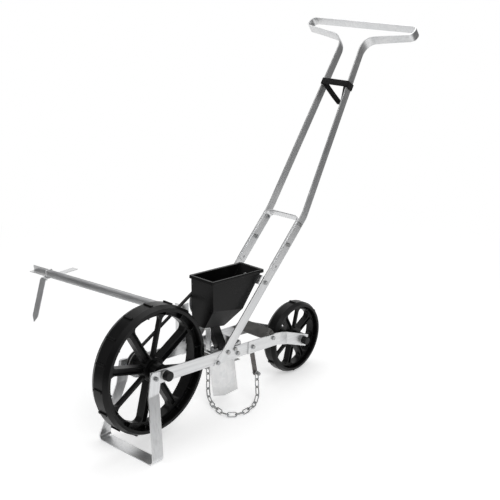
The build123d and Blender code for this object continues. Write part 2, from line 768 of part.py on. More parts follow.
def handle_strap():
    """Webbing hooked round both legs, flat in front, with a vee that hangs between them."""
    up = (Vector(0, *grip_top) - Vector(0, *grip_bend)).normalized()
    back = Vector(0, up.Z, -up.Y)
    middle = Vector(0, *grip_top) - up * STRAP_DOWN
    share = (tee_reach((middle.Y, middle.Z)) - tee_reach(grip_bend)) / (-TEE_ROOT_GAP - tee_reach(grip_bend))
    leg = arm_outer + GRIP_THICKNESS / 2
    half = leg + (TEE_ROOT_HALF - leg) * share + GRIP_THICKNESS / 2 + STRAP_GAP + STRAP_THICKNESS / 2
    front = GRIP_WIDTH / 2 + STRAP_GAP + STRAP_THICKNESS / 2
    inner = half - GRIP_THICKNESS - 2 * STRAP_GAP - STRAP_THICKNESS
    wrap = [
        (inner, front), (half, front), (half, -front), (-half, -front), (-half, front), (-inner, front),
    ]
    level = Plane(origin=middle, x_dir=(1, 0, 0), z_dir=up)
    loop = extrude(level * band(wrap, STRAP_CORNER, STRAP_THICKNESS), STRAP_WIDTH / 2, both=True)
    drop = math.radians(STRAP_DROP)
    down = back * math.cos(drop) - up * math.sin(drop)
    hanging = Plane(origin=middle - back * front, x_dir=(1, 0, 0), z_dir=Vector(1, 0, 0).cross(down))
    vee = [(inner, 0), (STRAP_TIP_HALF, STRAP_TIP), (-STRAP_TIP_HALF, STRAP_TIP), (-inner, 0)]
    tail = extrude(hanging * band(vee, STRAP_CORNER, STRAP_THICKNESS), STRAP_WIDTH / 2, both=True)
    return loop + tail


# Hopper

hopper_front = AXLE_SETBACK + HOPPER_SETBACK
floor_height = PLATE_HEIGHT - PLATE_OVER_FLOOR
crease_height = PLATE_HEIGHT + CREASE_OVER_PLATE
support_bolt_y = hopper_front + SUPPORT_BOLT_SETBACK
rim_slope = math.tan(math.radians(RIM_FALL))
rear_slope = math.tan(math.radians(REAR_WALL_ANGLE))
hopper_rear = hopper_front + HOPPER_TOP_LENGTH


def rim_height(y):
    return HOPPER_TOP - rim_slope * (y - hopper_front)


def rear_wall_y(z):
    """Outer face of the sloping rear wall at height z."""
    return hopper_rear - (rim_height(hopper_rear) - z) / rear_slope


def floor_under(y):
    """Underside of the hopper floor."""
    return floor_height - FLOOR_FALL * (y - hopper_front)


def hopper_volume(inset):
    """Space inside the hopper walls' outer faces, drawn in by the inset, open above the rim."""
    high = HOPPER_TOP + floor_height
    low = floor_height - floor_height / 2
    front = hopper_front + inset
    shift = inset / math.sin(math.radians(REAR_WALL_ANGLE))
    side = outline(
        (front, low), (rear_wall_y(low) - shift, low), (rear_wall_y(high) - shift, high), (front, high),
    )
    cross = outline(
        (HOPPER_LEFT, high + FAR), (HOPPER_LEFT, crease_height), (FLOOR_LEFT, floor_height),
        (-HOPPER_RIGHT, floor_height), (-HOPPER_RIGHT, high + FAR),
    )
    bends = cross.vertices().sort_by(Axis.Y)[:3]
    cross = fillet(bends, HOPPER_CORNER)
    if inset:
        cross = offset(cross, -inset)
    start = Plane.XZ.offset(-hopper_front) * cross
    fall = Vector(0, 1, -FLOOR_FALL)
    return side_prism(side, FAR) & extrude(start, FAR, dir=fall.normalized())


def chute_lean():
    """Run of the chute to the rear for each millimetre that it goes down."""
    return CHUTE_SHIFT / (floor_under(hopper_front + CHUTE_FRONT) - CHUTE_LOW)


def chute_outline(inset, extra):
    """Side view of the leaning chute from the hopper floor down."""
    lean = chute_lean()
    front = hopper_front + CHUTE_FRONT + inset
    rear = hopper_front + CHUTE_FRONT + CHUTE_DEPTH - inset
    low = CHUTE_LOW - extra
    front_low = front + (floor_under(front) - low) * lean
    rear_low = rear + (floor_under(rear) - low) * lean
    front_top = (front - extra * lean, floor_under(front) + extra)
    rear_top = (rear - extra * lean, floor_under(rear) + extra)
    return outline((front_low, low), (rear_low, low), rear_top, front_top)


def chute_hollow():
    sketch = chute_outline(CHUTE_WALL, 2 * HOPPER_WALL)
    return side_plate(sketch, -CHUTE_RIGHT + CHUTE_WALL, CHUTE_LEFT - CHUTE_WALL)


def floor_plane(y, x):
    """Plane on the underside of the hopper floor, facing down."""
    down = Vector(0, -FLOOR_FALL, -1).normalized()
    return Plane(origin=(x, y, floor_under(y)), x_dir=(1, 0, 0), z_dir=down)


def chute_screw_planes():
    x = -CHUTE_RIGHT - CHUTE_FLANGE / 2
    front = hopper_front + CHUTE_FRONT + CHUTE_SCREW_INSET
    rear = hopper_front + CHUTE_FRONT + CHUTE_DEPTH - CHUTE_SCREW_INSET
    return [floor_plane(front, x), floor_plane(rear, x)]


def seed_chute():
    """Leaning rectangular tube with a flange under the hopper floor on its right side."""
    tube = side_plate(chute_outline(0, 0), -CHUTE_RIGHT, CHUTE_LEFT)
    front = hopper_front + CHUTE_FRONT
    rear = front + CHUTE_DEPTH
    low = CHUTE_FLANGE_THICKNESS
    lip = outline(
        (front, floor_under(front)), (rear, floor_under(rear)),
        (rear, floor_under(rear) - low), (front, floor_under(front) - low),
    )
    tube += side_plate(lip, -CHUTE_RIGHT - CHUTE_FLANGE, -CHUTE_RIGHT)
    tube -= chute_hollow()
    for plane in chute_screw_planes():
        tube -= extrude(plane * Circle(SMALL_BOLT_RADIUS + RUN_CLEAR), floor_height / 2)
    return tube


def chute_screws():
    """Small screws up through the chute flange into the hopper floor."""
    screws = []
    for plane in chute_screw_planes():
        seat = plane.offset(CHUTE_FLANGE_THICKNESS)
        grip = CHUTE_FLANGE_THICKNESS + HOPPER_WALL + BOLT_TIP
        screws.append(bolt(seat, grip, SMALL_BOLT_RADIUS, SMALL_HEAD_RADIUS, SMALL_HEAD_THICKNESS))
    return group(screws)


def support_plane():
    """Where the hopper support is bolted to the underside of the floor, facing down."""
    return floor_plane(hopper_front + SUPPORT_FLANGE_BOLT, SUPPORT_SIDE)


def rear_wall_plane():
    """Plane on the outer face of the rear wall at the rear bracket, facing out of it."""
    slope = math.radians(REAR_WALL_ANGLE)
    z = HOPPER_TOP - REAR_BRACKET_DROP
    normal = (0, math.sin(slope), -math.cos(slope))
    return Plane(origin=(0, rear_wall_y(z), z), x_dir=(1, 0, 0), z_dir=normal)


def hopper():
    """Open hopper: shell, rolled rim, chute opening and holes for its bolts and the seed shaft."""
    inner = hopper_volume(HOPPER_WALL)
    below = outline(
        (hopper_front - FAR, 0), (hopper_front + FAR, 0),
        (hopper_front + FAR, rim_height(hopper_front + FAR)),
        (hopper_front - FAR, rim_height(hopper_front - FAR)),
    )
    shell = hopper_volume(0) & side_prism(below, FAR)
    rim_start = hopper_front - RIM_FRONT
    rim_mid = rim_start + RIM_LENGTH / 2
    tilted = Plane(
        origin=(0, rim_mid, rim_height(rim_mid)), x_dir=(1, 0, 0), z_dir=(0, rim_slope, 1),
    )
    rim = extrude(tilted * RectangleRounded(2 * RIM_HALF, RIM_LENGTH, RIM_CORNER), -RIM_HEIGHT)
    rim = fillet(rim.edges().filter_by(Axis.Z, reverse=True).group_by(Axis.Z)[-1], RIM_ROUND)
    body = shell + rim
    body -= inner
    body -= chute_hollow()
    body -= side_plate(
        Pos(plate_y, PLATE_HEIGHT) * Circle(SHAFT_RADIUS + SHAFT_BUSH_WALL + RUN_CLEAR), -FAR, 0,
    )
    pulley_space = Pos(plate_y, PLATE_HEIGHT) * Circle(DRIVEN_BELT_RADIUS + PULLEY_LIP + PULLEY_GAP)
    body -= side_plate(pulley_space, -FAR, SIDE_GAP - PULLEY_SIDE)
    drill = Circle(hole_radius)
    body -= extrude(support_plane() * drill, SUPPORT_WIDTH / 2, both=True)
    body -= extrude(rear_wall_plane() * drill, SUPPORT_WIDTH / 2, both=True)
    for plane in chute_screw_planes():
        body -= extrude(plane * Circle(SMALL_BOLT_RADIUS + RUN_CLEAR), -SUPPORT_WIDTH / 2)
    return body


def hopper_support():
    """Strip bent to a Z: flange under the hopper floor, upright leg, foot on the cross strip."""
    front = hopper_front + SUPPORT_FLANGE
    leg = hopper_front + SUPPORT_LEG
    drop = math.hypot(1, FLOOR_FALL) * STRIP_THICKNESS / 2
    z = CROSS_STRIP_HEIGHT + STRIP_THICKNESS
    flange = [(y, floor_under(y) - drop) for y in (front, leg)]
    bends = flange + [(leg, z), (leg + SUPPORT_FOOT, z)]
    half = SUPPORT_WIDTH / 2
    strip = side_plate(band(bends, SUPPORT_RADIUS, STRIP_THICKNESS), SUPPORT_SIDE - half, SUPPORT_SIDE + half)
    strip -= extrude(support_plane() * Circle(hole_radius), half, both=True)
    upright = Plane(origin=(SUPPORT_SIDE, support_bolt_y, z))
    return strip - extrude(upright * Circle(hole_radius), STRIP_THICKNESS, both=True)


def rear_bolt_down():
    """How far the middle of the handle bars lies behind the hopper's rear wall."""
    face = rear_wall_plane()
    y = face.origin.Y - handle_root[0]
    z = face.origin.Z - handle_root[1]
    short = z * handle_cos - y * handle_sin
    return short / (face.z_dir.Y * handle_sin - face.z_dir.Z * handle_cos)


def rear_bracket_bolt():
    """Side-view point of the bolt through the bracket's bent ends."""
    point = rear_wall_plane().offset(rear_bolt_down()).origin
    return point.Y, point.Z


def hopper_rear_bracket():
    """Strap behind the hopper, its ends bent onto the handle bars."""
    mid = FRAME_HALF - STRIP_THICKNESS / 2
    low = STRIP_THICKNESS / 2
    high = rear_bolt_down() + REAR_BRACKET_EDGE
    face = rear_wall_plane()
    plane = Plane(origin=face.origin, x_dir=(1, 0, 0), z_dir=(0, -face.z_dir.Z, face.z_dir.Y))
    bends = [(mid, high), (mid, low), (-mid, low), (-mid, high)]
    strip = extrude(plane * band(bends, CORNER_RADIUS, STRIP_THICKNESS), -REAR_BRACKET_WIDTH / 2, both=True)
    strip -= extrude(face * Circle(hole_radius), SUPPORT_WIDTH / 2, both=True)
    return strip - cross_drills([rear_bracket_bolt()], hole_radius)


def turned_over(plane):
    return Plane(origin=plane.origin, x_dir=(1, 0, 0), z_dir=-plane.z_dir)


def hopper_bolts():
    """Bolts through the hopper floor, the hopper rear and the support's foot."""
    grip = STRIP_THICKNESS + HOPPER_WALL + NUT_THICKNESS + BOLT_TIP
    front = bolt(support_plane().offset(STRIP_THICKNESS), grip)
    rear = bolt(turned_over(rear_wall_plane().offset(-HOPPER_WALL)), grip)
    under = CROSS_STRIP_HEIGHT - STRIP_THICKNESS / 2
    foot_plane = Plane(origin=(SUPPORT_SIDE, support_bolt_y, under), x_dir=(1, 0, 0), z_dir=(0, 0, -1))
    foot_grip = 2 * STRIP_THICKNESS + NUT_THICKNESS + BOLT_TIP
    foot = bolt(foot_plane, foot_grip, thick=SMALL_HEAD_THICKNESS)
    return group([front, rear, foot])


def hopper_nuts():
    front = nut(turned_over(support_plane().offset(-HOPPER_WALL)))
    rear = nut(rear_wall_plane().offset(STRIP_THICKNESS))
    top = CROSS_STRIP_HEIGHT + 1.5 * STRIP_THICKNESS
    foot = nut(Plane(origin=(SUPPORT_SIDE, support_bolt_y, top)))
    return group([front, rear, foot])


# Seed drive

plate_y = AXLE_SETBACK + PLATE_SETBACK
wall_inner = -HOPPER_RIGHT + HOPPER_WALL
hub_start = wall_inner + SIDE_GAP
plate_start = hub_start + HUB_FLANGE_THICKNESS
retainer_start = plate_start + PLATE_THICKNESS
belt_mid = -(PULLEY_SIDE + PULLEY_WIDTH / 2)
pulley_end_x = -(PULLEY_SIDE + PULLEY_WIDTH)


def notched(radius, width, depth):
    """Round outline with evenly spaced square notches standing out of it."""
    shape = Circle(radius)
    for number in range(PLATE_NOTCHES):
        tooth = Pos(radius / 2 + depth / 2, 0) * Rectangle(radius + depth, width)
        shape += Rot(0, 0, 90 + number * 360 / PLATE_NOTCHES) * tooth
    return shape


def seed_plate():
    face = Circle(PLATE_RADIUS)
    face -= notched(PLATE_BORE, PLATE_NOTCH_WIDTH, PLATE_NOTCH_DEPTH)
    face -= PolarLocations(CELL_CIRCLE, CELL_COUNT) * Circle(CELL_RADIUS)
    return side_plate(Pos(plate_y, PLATE_HEIGHT) * face, plate_start, retainer_start)


def plate_hub():
    """Shaft, back flange and the notched boss that carries the seed plate."""
    at = Pos(plate_y, PLATE_HEIGHT)
    end = pulley_end_x - NUT_THICKNESS - BOLT_TIP
    hub = side_plate(at * Circle(SHAFT_RADIUS), end, hub_start)
    hub += side_plate(at * Circle(HUB_FLANGE_RADIUS), hub_start, plate_start)
    boss = notched(PLATE_BORE - RUN_CLEAR, PLATE_NOTCH_WIDTH - 2 * RUN_CLEAR, PLATE_NOTCH_DEPTH - RUN_CLEAR)
    return hub + side_plate(at * boss, plate_start, retainer_start)


def plate_retainer():
    """Disc and knob that hold the seed plate on its hub."""
    at = Pos(plate_y, PLATE_HEIGHT)
    knob_start = retainer_start + RETAINER_THICKNESS
    disc = side_plate(at * Circle(RETAINER_RADIUS), retainer_start, knob_start)
    return disc + side_plate(at * Circle(KNOB_RADIUS), knob_start, knob_start + KNOB_LENGTH)


def shaft_bush():
    outer = SHAFT_RADIUS + SHAFT_BUSH_WALL
    inner = SHAFT_RADIUS + RUN_CLEAR
    sleeve = ring(outer, inner, -HOPPER_RIGHT, wall_inner, plate_y, PLATE_HEIGHT)
    lip_end = -HOPPER_RIGHT - SHAFT_FLANGE_THICKNESS
    return sleeve + ring(outer + SHAFT_FLANGE, inner, lip_end, -HOPPER_RIGHT, plate_y, PLATE_HEIGHT)


def pulley(belt_radius, y, z, bore):
    """Grooved pulley about X with room for the belt in its groove."""
    rim = belt_radius + PULLEY_LIP
    body = side_plate(Pos(y, z) * (Circle(rim) - Circle(bore)), pulley_end_x, -PULLEY_SIDE)
    bottom = belt_radius - BELT_THICKNESS / 2 - SIDE_GAP
    half = BELT_WIDTH / 2 + SIDE_GAP
    groove = Pos(y, z) * (Circle(rim + PULLEY_LIP) - Circle(bottom))
    return body - side_plate(groove, belt_mid - half, belt_mid + half)


def drive_pulley():
    body = pulley(DRIVE_BELT_RADIUS, front_axle_y, front_axle_z, AXLE_RADIUS + 2 * HOLE_CLEAR)
    for at in pulley_screw_points():
        body -= side_plate(Pos(*at) * Circle(SMALL_BOLT_RADIUS + RUN_CLEAR), pulley_end_x, 0)
        seat = Pos(*at) * Circle(SMALL_HEAD_RADIUS + HOLE_CLEAR)
        body -= side_plate(seat, pulley_end_x, pulley_end_x + SMALL_HEAD_THICKNESS)
    return body


def pulley_screws():
    """Screws that hold the drive pulley on the front wheel's hub, heads sunk flush."""
    screws = []
    for at in pulley_screw_points():
        seat = facing(-pulley_end_x - SMALL_HEAD_THICKNESS, at, -1)
        grip = PULLEY_WIDTH - SMALL_HEAD_THICKNESS + PULLEY_SCREW_REACH
        screws.append(bolt(seat, grip, SMALL_BOLT_RADIUS, SMALL_HEAD_RADIUS, SMALL_HEAD_THICKNESS))
    return group(screws)


def driven_pulley():
    return pulley(DRIVEN_BELT_RADIUS, plate_y, PLATE_HEIGHT, SHAFT_RADIUS + RUN_CLEAR)


def pulley_nut():
    face = RegularPolygon(2 * SHAFT_RADIUS, 6) - Circle(SHAFT_RADIUS + RUN_CLEAR)
    return side_plate(Pos(plate_y, PLATE_HEIGHT) * face, pulley_end_x - NUT_THICKNESS, pulley_end_x)


def belt_loop(change):
    """Outline stretched round both pulleys."""
    drive = Pos(front_axle_y, front_axle_z) * Circle(DRIVE_BELT_RADIUS + change)
    driven = Pos(plate_y, PLATE_HEIGHT) * Circle(DRIVEN_BELT_RADIUS + change)
    return make_hull(drive.edges() + driven.edges())


def drive_belt():
    loop = belt_loop(BELT_THICKNESS / 2) - belt_loop(-BELT_THICKNESS / 2)
    return side_plate(loop, belt_mid - BELT_WIDTH / 2, belt_mid + BELT_WIDTH / 2)


# Ground opener

shoe_tilt = math.radians(SHOE_LEAN)
shoe_top = along_bar(SHOE_SETBACK, -SHOE_DROP)
shoe_plane = Plane(
    origin=(0, shoe_top[0], shoe_top[1]), x_dir=(1, 0, 0),
    z_dir=(0, -math.sin(shoe_tilt), math.cos(shoe_tilt)),
)


def shoe_point(back, up):
    """Plane square to the shoe's rear plate, facing back, at a place in the shoe's own frame."""
    origin = shoe_plane.from_local_coords(Vector(0, back, up))
    return Plane(origin=origin, x_dir=(1, 0, 0), z_dir=shoe_plane.y_dir)


def ground_opener():
    """Sheet-metal shoe: pointed nose, straight sides, closed back, open top and bottom."""
    plan = outline(
        (0, 0), (SHOE_HALF, SHOE_NOSE), (SHOE_HALF, SHOE_LENGTH),
        (-SHOE_HALF, SHOE_LENGTH), (-SHOE_HALF, SHOE_NOSE),
    )
    plan = fillet(plan.vertices(), SHOE_NOSE_RADIUS)
    wall = plan - offset(plan, -SHOE_SHEET)
    shoe = extrude(shoe_plane * wall, -SHOE_REACH)
    shoe -= extrude(Plane.XY.offset(SHOE_BOTTOM) * Rectangle(FAR, 2 * FAR), -FAR)
    hole = Circle(BOLT_RADIUS + RUN_CLEAR)
    return shoe - extrude(shoe_point(SHOE_LENGTH, -DEPTH_BOLT_DOWN) * hole, SHOE_NOSE / 2, both=True)


def opener_yoke():
    """U bracket between the side bars with a slotted tongue behind the shoe."""
    mid = bar_inner - STRIP_THICKNESS / 2
    back = SHOE_LENGTH + SIDE_GAP + STRIP_THICKNESS / 2
    bends = [(mid, YOKE_FRONT), (mid, back), (-mid, back), (-mid, YOKE_FRONT)]
    loop = shoe_plane.offset(-YOKE_LOW) * band(bends, CORNER_RADIUS, STRIP_THICKNESS)
    body = extrude(loop, YOKE_LOW + YOKE_HIGH, dir=shoe_plane.z_dir)
    face = shoe_point(SHOE_LENGTH + SIDE_GAP, 0)
    middle = (SLOT_HIGH + SLOT_LOW) / 2
    tongue = Pos(0, -(TONGUE_LOW + YOKE_LOW) / 2 + STRIP_THICKNESS)
    blank = tongue * Rectangle(2 * TONGUE_HALF, TONGUE_LOW - YOKE_LOW + 2 * STRIP_THICKNESS)
    slot = Pos(0, -middle) * Rot(0, 0, 90) * SlotOverall(SLOT_LOW - SLOT_HIGH, 2 * hole_radius)
    flip = Rot(0, 0, 180)
    body += extrude(face * flip * (blank - slot), STRIP_THICKNESS)
    return body - cross_drills(shoe_bolts, hole_radius)


def depth_bolt():
    """Round-headed bolt through the shoe's back and the tongue's slot."""
    seat = shoe_point(SHOE_LENGTH - SHOE_SHEET, -DEPTH_BOLT_DOWN)
    head = extrude(seat * Circle(DEPTH_HEAD_RADIUS), -DEPTH_HEAD_THICKNESS)
    return head + extrude(seat * Circle(BOLT_RADIUS), DEPTH_BOLT_REACH)


def depth_wing_nut():
    """Wing nut that clamps the shoe to the tongue."""
    back = SHOE_LENGTH + 2 * SIDE_GAP + STRIP_THICKNESS
    seat = shoe_point(back, -DEPTH_BOLT_DOWN)
    body = extrude(seat * Circle(WING_HUB_RADIUS), WING_HUB_LENGTH)
    wing = outline(
        (-WING_SPAN, WING_HUB_LENGTH + WING_RISE), (-WING_SPAN / 2, WING_HUB_LENGTH + WING_RISE),
        (-WING_HUB_RADIUS / 2, WING_HUB_LENGTH), (-WING_HUB_RADIUS / 2, 0), (-WING_HUB_RADIUS, 0),
    )
    wings = wing + mirror(wing, about=Plane.YZ)
    level = Plane(origin=seat.origin, x_dir=(1, 0, 0), z_dir=shoe_plane.z_dir)
    leaf = extrude(level * wings, WING_THICKNESS / 2, both=True)
    return body + leaf - extrude(seat * Circle(BOLT_RADIUS + RUN_CLEAR), FAR)


# Drag chain


def strap_end(top, length, lean):
    angle = math.radians(lean)
    return top[0] + length * math.sin(angle), top[1] - length * math.cos(angle)


left_chain_bolt = strap_end(joint_bolt, LEFT_STRAP_LENGTH, LEFT_STRAP_LEAN)
right_chain_bolt = strap_end(shoe_bolts[1], RIGHT_STRAP_LENGTH, RIGHT_STRAP_LEAN)


def chain_strap(top, low, inner, side):
    """Round-ended strap hanging from a frame bolt."""
    middle = ((top[0] + low[0]) / 2, (top[1] + low[1]) / 2)
    angle = math.degrees(math.atan2(low[1] - top[1], low[0] - top[0]))
    reach = math.dist(top, low)
    face = Pos(*middle) * Rot(0, 0, angle) * SlotCenterToCenter(reach, CHAIN_STRAP_WIDTH)
    face -= holes([top, low], hole_radius)
    outer = inner + CHAIN_STRAP_THICKNESS
    return side_plate(face, *sorted((side * inner, side * outer)))


def chain_bolts():
    """Bolts at the strap ends, heads to the right, reaching through the end links."""
    pins = []
    for at, x in chain_ends():
        grip = CHAIN_STRAP_THICKNESS + CHAIN_BOLT_REACH + BOLT_TIP
        pins.append(bolt(facing(CHAIN_STRAP_THICKNESS - x, at, -1), grip))
    return group(pins)


def chain_nuts():
    """Nuts that keep the end links on their bolts."""
    kept = []
    for at, x in chain_ends():
        kept.append(nut(facing(x + CHAIN_BOLT_REACH - NUT_THICKNESS, at, 1)))
    return group(kept)


def chain_ends():
    """Bolt places with the x of the strap faces that the chain hangs against."""
    return [(left_chain_bolt, bar_inner), (right_chain_bolt, -FRAME_HALF)]


def chain_link():
    """One oval link, long along X, lying in the XY plane."""
    half = (LINK_LENGTH - LINK_WIDTH) / 2
    bend = LINK_WIDTH / 2 - LINK_WIRE
    sides = [
        Line((0, bend), (half, bend)),
        ThreePointArc((half, bend), (half + bend, 0), (half, -bend)),
        Line((half, -bend), (-half, -bend)),
        ThreePointArc((-half, -bend), (-half - bend, 0), (-half, bend)),
        Line((-half, bend), (0, bend)),
    ]
    start = Plane(origin=(0, bend, 0), z_dir=(1, 0, 0))
    return sweep(start * Circle(LINK_WIRE), path=Wire(sides))


def chain_route():
    """Line of the chain: down from the left bolt, round on the ground, up to the right bolt."""
    hang = BOLT_RADIUS + SIDE_GAP + LINK_LENGTH / 2 - LINK_WIRE - CHAIN_HANG
    rise = BOLT_RADIUS + SIDE_GAP + LINK_WIRE
    left_x, right_x = [x + CHAIN_HANG for at, x in chain_ends()]
    left_y, left_z = left_chain_bolt
    right_y, right_z = right_chain_bolt
    end_rise = rise - (LINK_LENGTH / 2 - LINK_WIRE) + LINK_PITCH / 2
    top_left = left_z + end_rise
    top_right = right_z + end_rise
    low = CHAIN_REST
    points = [(left_x, left_y, top_left), (left_x, left_y, top_left - LINK_PITCH)]
    points.append((left_x, left_y, low + 2 * LINK_PITCH))
    points.append((left_x + hang, left_y - hang, low + hang))
    points += [(left_x + across, left_y + back, low) for across, back in CHAIN_LAY]
    points.append((right_x + CHAIN_LAY_END[0], right_y + CHAIN_LAY_END[1], low))
    points.append((right_x + hang, right_y - CHAIN_RISE_SETBACK, low + hang))
    points.append((right_x, right_y, low + 2 * LINK_PITCH))
    points += [(right_x, right_y, top_right - LINK_PITCH), (right_x, right_y, top_right)]
    return Spline(*points, tangents=[(0, 0, -1), (0, 0, 1)])


def chain_joints(route, pitch):
    """Points one pitch apart along the route, and how far the last one stays from its end."""
    samples = [route @ (number / ROUTE_STEPS) for number in range(ROUTE_STEPS + 1)]
    joints = [samples[0]]
    for before, after in zip(samples, samples[1:]):
        near = (before - joints[-1]).length
        far = (after - joints[-1]).length
        if near < pitch <= far:
            joints.append(before + (after - before) * ((pitch - near) / (far - near)))
    return joints, (samples[-1] - joints[-1]).length


def fitted_joints():
    """Joints at a pitch just short of the full one, so that whole links reach both bolts."""
    route = chain_route()
    count = len(chain_joints(route, LINK_PITCH)[0])
    short = LINK_PITCH * (1 - 1 / count)
    long = LINK_PITCH
    for _ in range(PITCH_STEPS):
        middle = (short + long) / 2
        joints = chain_joints(route, middle)[0]
        if len(joints) > count:
            short = middle
        else:
            long = middle
    joints = chain_joints(route, long)[0]
    return joints + [route @ 1]


def drag_chain():
    """Oval links, each turned a quarter from the one before it."""
    joints = fitted_joints()
    spans = [(after - before).normalized() for before, after in zip(joints, joints[1:])]
    normals = [Vector(1, 0, 0)]
    for along in spans[1:]:
        side = normals[-1] - along * normals[-1].dot(along)
        normals.append(side.normalized())
    last = normals[-1]
    twist = math.degrees(math.atan2(last.cross(Vector(1, 0, 0)).dot(spans[-1]), last.X))
    quarter = QUARTER_TURN * (len(spans) - 1)
    extra = (twist - quarter + QUARTER_TURN) % (2 * QUARTER_TURN) - QUARTER_TURN
    links = []
    shape = chain_link()
    for number, along in enumerate(spans):
        centre = (joints[number] + joints[number + 1]) / 2
        turn = QUARTER_TURN * number + extra * number / (len(spans) - 1)
        normal = normals[number].rotate(Axis((0, 0, 0), along), turn)
        place = Plane(origin=centre, x_dir=along, z_dir=normal)
        links.append(place.location * shape)
    return group(links)


# Row marker

post_y = AXLE_SETBACK + POST_SETBACK
post_top = ARM_PIVOT_HEIGHT + POST_OVER_PIVOT
pivot_x = arm_outer + ARM_PIVOT_OUT
arm_rear_face = post_y - POST_THICKNESS - SIDE_GAP
arm_place = Location((-pivot_x, arm_rear_face, ARM_PIVOT_HEIGHT), (0, -ARM_DROOP, 0))
post_bolt = (post_y + POST_BOLT_BACK, POST_BOLT_HEIGHT)


def marker_post():
    """Upright angle on the right side, with a face turned forward for the marker arm."""
    tall = post_top - POST_LOW
    middle = (post_top + POST_LOW) / 2
    face = Pos(post_y + POST_WIDTH / 2 - POST_THICKNESS, middle) * Rectangle(POST_WIDTH, tall)
    face -= holes([foot_bolt, post_bolt], hole_radius)
    post = side_plate(face, -arm_outer - POST_THICKNESS, -arm_outer)
    out = Pos(-arm_outer - POST_WIDTH / 2, middle) * Rectangle(POST_WIDTH, tall)
    out -= Pos(-pivot_x, ARM_PIVOT_HEIGHT) * Circle(hole_radius)
    return post + front_prism(out, post_y - POST_THICKNESS, post_y)


def post_spacer():
    """Ring between the right side bar and the post, beside the handle bar."""
    return ring(POST_SPACER_RADIUS, BOLT_RADIUS + RUN_CLEAR, -arm_outer, -FRAME_HALF, *post_bolt)


def marker_arm():
    """Angle section reaching out to the right, upright leg at the back, flange forward."""
    leg = Pos(-ARM_THICKNESS / 2, (ARM_LEG_UP - ARM_LEG_DOWN) / 2)
    section = leg * Rectangle(ARM_THICKNESS, ARM_LEG_UP + ARM_LEG_DOWN)
    section += Pos(-ARM_FLANGE / 2, ARM_THICKNESS / 2 - ARM_LEG_DOWN) * Rectangle(ARM_FLANGE, ARM_THICKNESS)
    arm = side_plate(section, -ARM_OUTER, ARM_INNER)
    hole = Circle(BOLT_RADIUS + RUN_CLEAR)
    return arm_place * (arm - front_prism(hole, -ARM_FLANGE, ARM_FLANGE))


def arm_pivot_bolt():
    """Pivot bolt of the marker arm, head forward."""
    y = arm_rear_face - ARM_THICKNESS - SIDE_GAP
    seat = Plane(origin=(-pivot_x, y, ARM_PIVOT_HEIGHT), x_dir=(1, 0, 0), z_dir=(0, -1, 0))
    grip = post_y - y + NUT_THICKNESS + BOLT_TIP
    return bolt(seat, grip)


def arm_pivot_nut():
    return nut(Plane(origin=(-pivot_x, post_y, ARM_PIVOT_HEIGHT), x_dir=(1, 0, 0), z_dir=(0, 1, 0)))


strip_top = -ARM_LEG_DOWN - SIDE_GAP
clip_front = -ARM_FLANGE - SIDE_GAP - CLIP_WIRE
clip_rear = SIDE_GAP + CLIP_WIRE
clip_top = ARM_LEG_UP + SIDE_GAP + CLIP_WIRE


def row_marker():
    """Strip under the arm, bent down at the front into a pointed blade."""
    z = strip_top - MARKER_THICKNESS / 2
    bends = [(MARKER_REAR, z), (-MARKER_FRONT, z), (-MARKER_TIP_FORWARD, -MARKER_TIP_DOWN)]
    blade = side_prism(band(bends, MARKER_RADIUS, MARKER_THICKNESS), MARKER_WIDTH / 2)
    half = MARKER_WIDTH / 2
    point = outline(
        (-half, 0), (half, 0), (half, MARKER_POINT - MARKER_TIP_DOWN),
        (0, -MARKER_TIP_DOWN - MARKER_THICKNESS), (-half, MARKER_POINT - MARKER_TIP_DOWN),
    )
    blade = blade & front_prism(point, -FAR, FAR)
    for y in (clip_front, clip_rear):
        blade -= Pos(0, y, strip_top) * Cylinder(CLIP_WIRE + RUN_CLEAR, 2 * CLIP_DROP)
    return arm_place * Pos(-MARKER_AT, 0, 0) * blade


def marker_clip():
    """Wire stirrup over the arm, its ends passing down through the marker strip."""
    low = strip_top - MARKER_THICKNESS - CLIP_DROP
    bends = [(clip_front, low), (clip_front, clip_top), (clip_rear, clip_top), (clip_rear, low)]
    wire = Plane.YZ * path(bends, CLIP_RADIUS)
    start = Plane(origin=(0, clip_front, low), z_dir=(0, 0, 1))
    return arm_place * Pos(-MARKER_AT, 0, 0) * sweep(start * Circle(CLIP_WIRE), path=wire)


def marker_clip_nuts():
    low = strip_top - MARKER_THICKNESS
    kept = []
    for y in (clip_front, clip_rear):
        seat = Plane(origin=(-MARKER_AT, y, low), x_dir=(1, 0, 0), z_dir=(0, 0, -1))
        kept.append(arm_place * nut(seat, CLIP_WIRE, CLIP_NUT_RADIUS, CLIP_NUT_THICKNESS))
    return group(kept)


# Frame fasteners: place, outer face and inner face of the stack, on the left and on the right


def frame_stacks():
    cross_inner = bar_inner - STRIP_THICKNESS
    left = [
        (foot_bolt, arm_outer, bar_inner),
        (cross_bolt, arm_outer, cross_inner),
        (shoe_bolts[0], FRAME_HALF, cross_inner),
        (shoe_bolts[1], FRAME_HALF, cross_inner),
        (joint_bolt, arm_outer, bar_inner - CHAIN_STRAP_THICKNESS),
        (tail_bolt, arm_outer, bar_inner),
    ]
    right = [
        (foot_bolt, arm_outer + POST_THICKNESS, bar_inner),
        (post_bolt, arm_outer + POST_THICKNESS, bar_inner),
        (cross_bolt, arm_outer, cross_inner),
        (shoe_bolts[0], FRAME_HALF, cross_inner),
        (shoe_bolts[1], FRAME_HALF + CHAIN_STRAP_THICKNESS, cross_inner),
        (joint_bolt, arm_outer, bar_inner),
        (tail_bolt, arm_outer, bar_inner),
    ]
    return [(1, left), (-1, right)]


def handle_stacks():
    stacks = [(at, grip_outer, bar_inner) for at in handle_bolts_at]
    stacks.append((rear_bracket_bolt(), arm_outer, bar_inner))
    return [(1, stacks), (-1, stacks)]


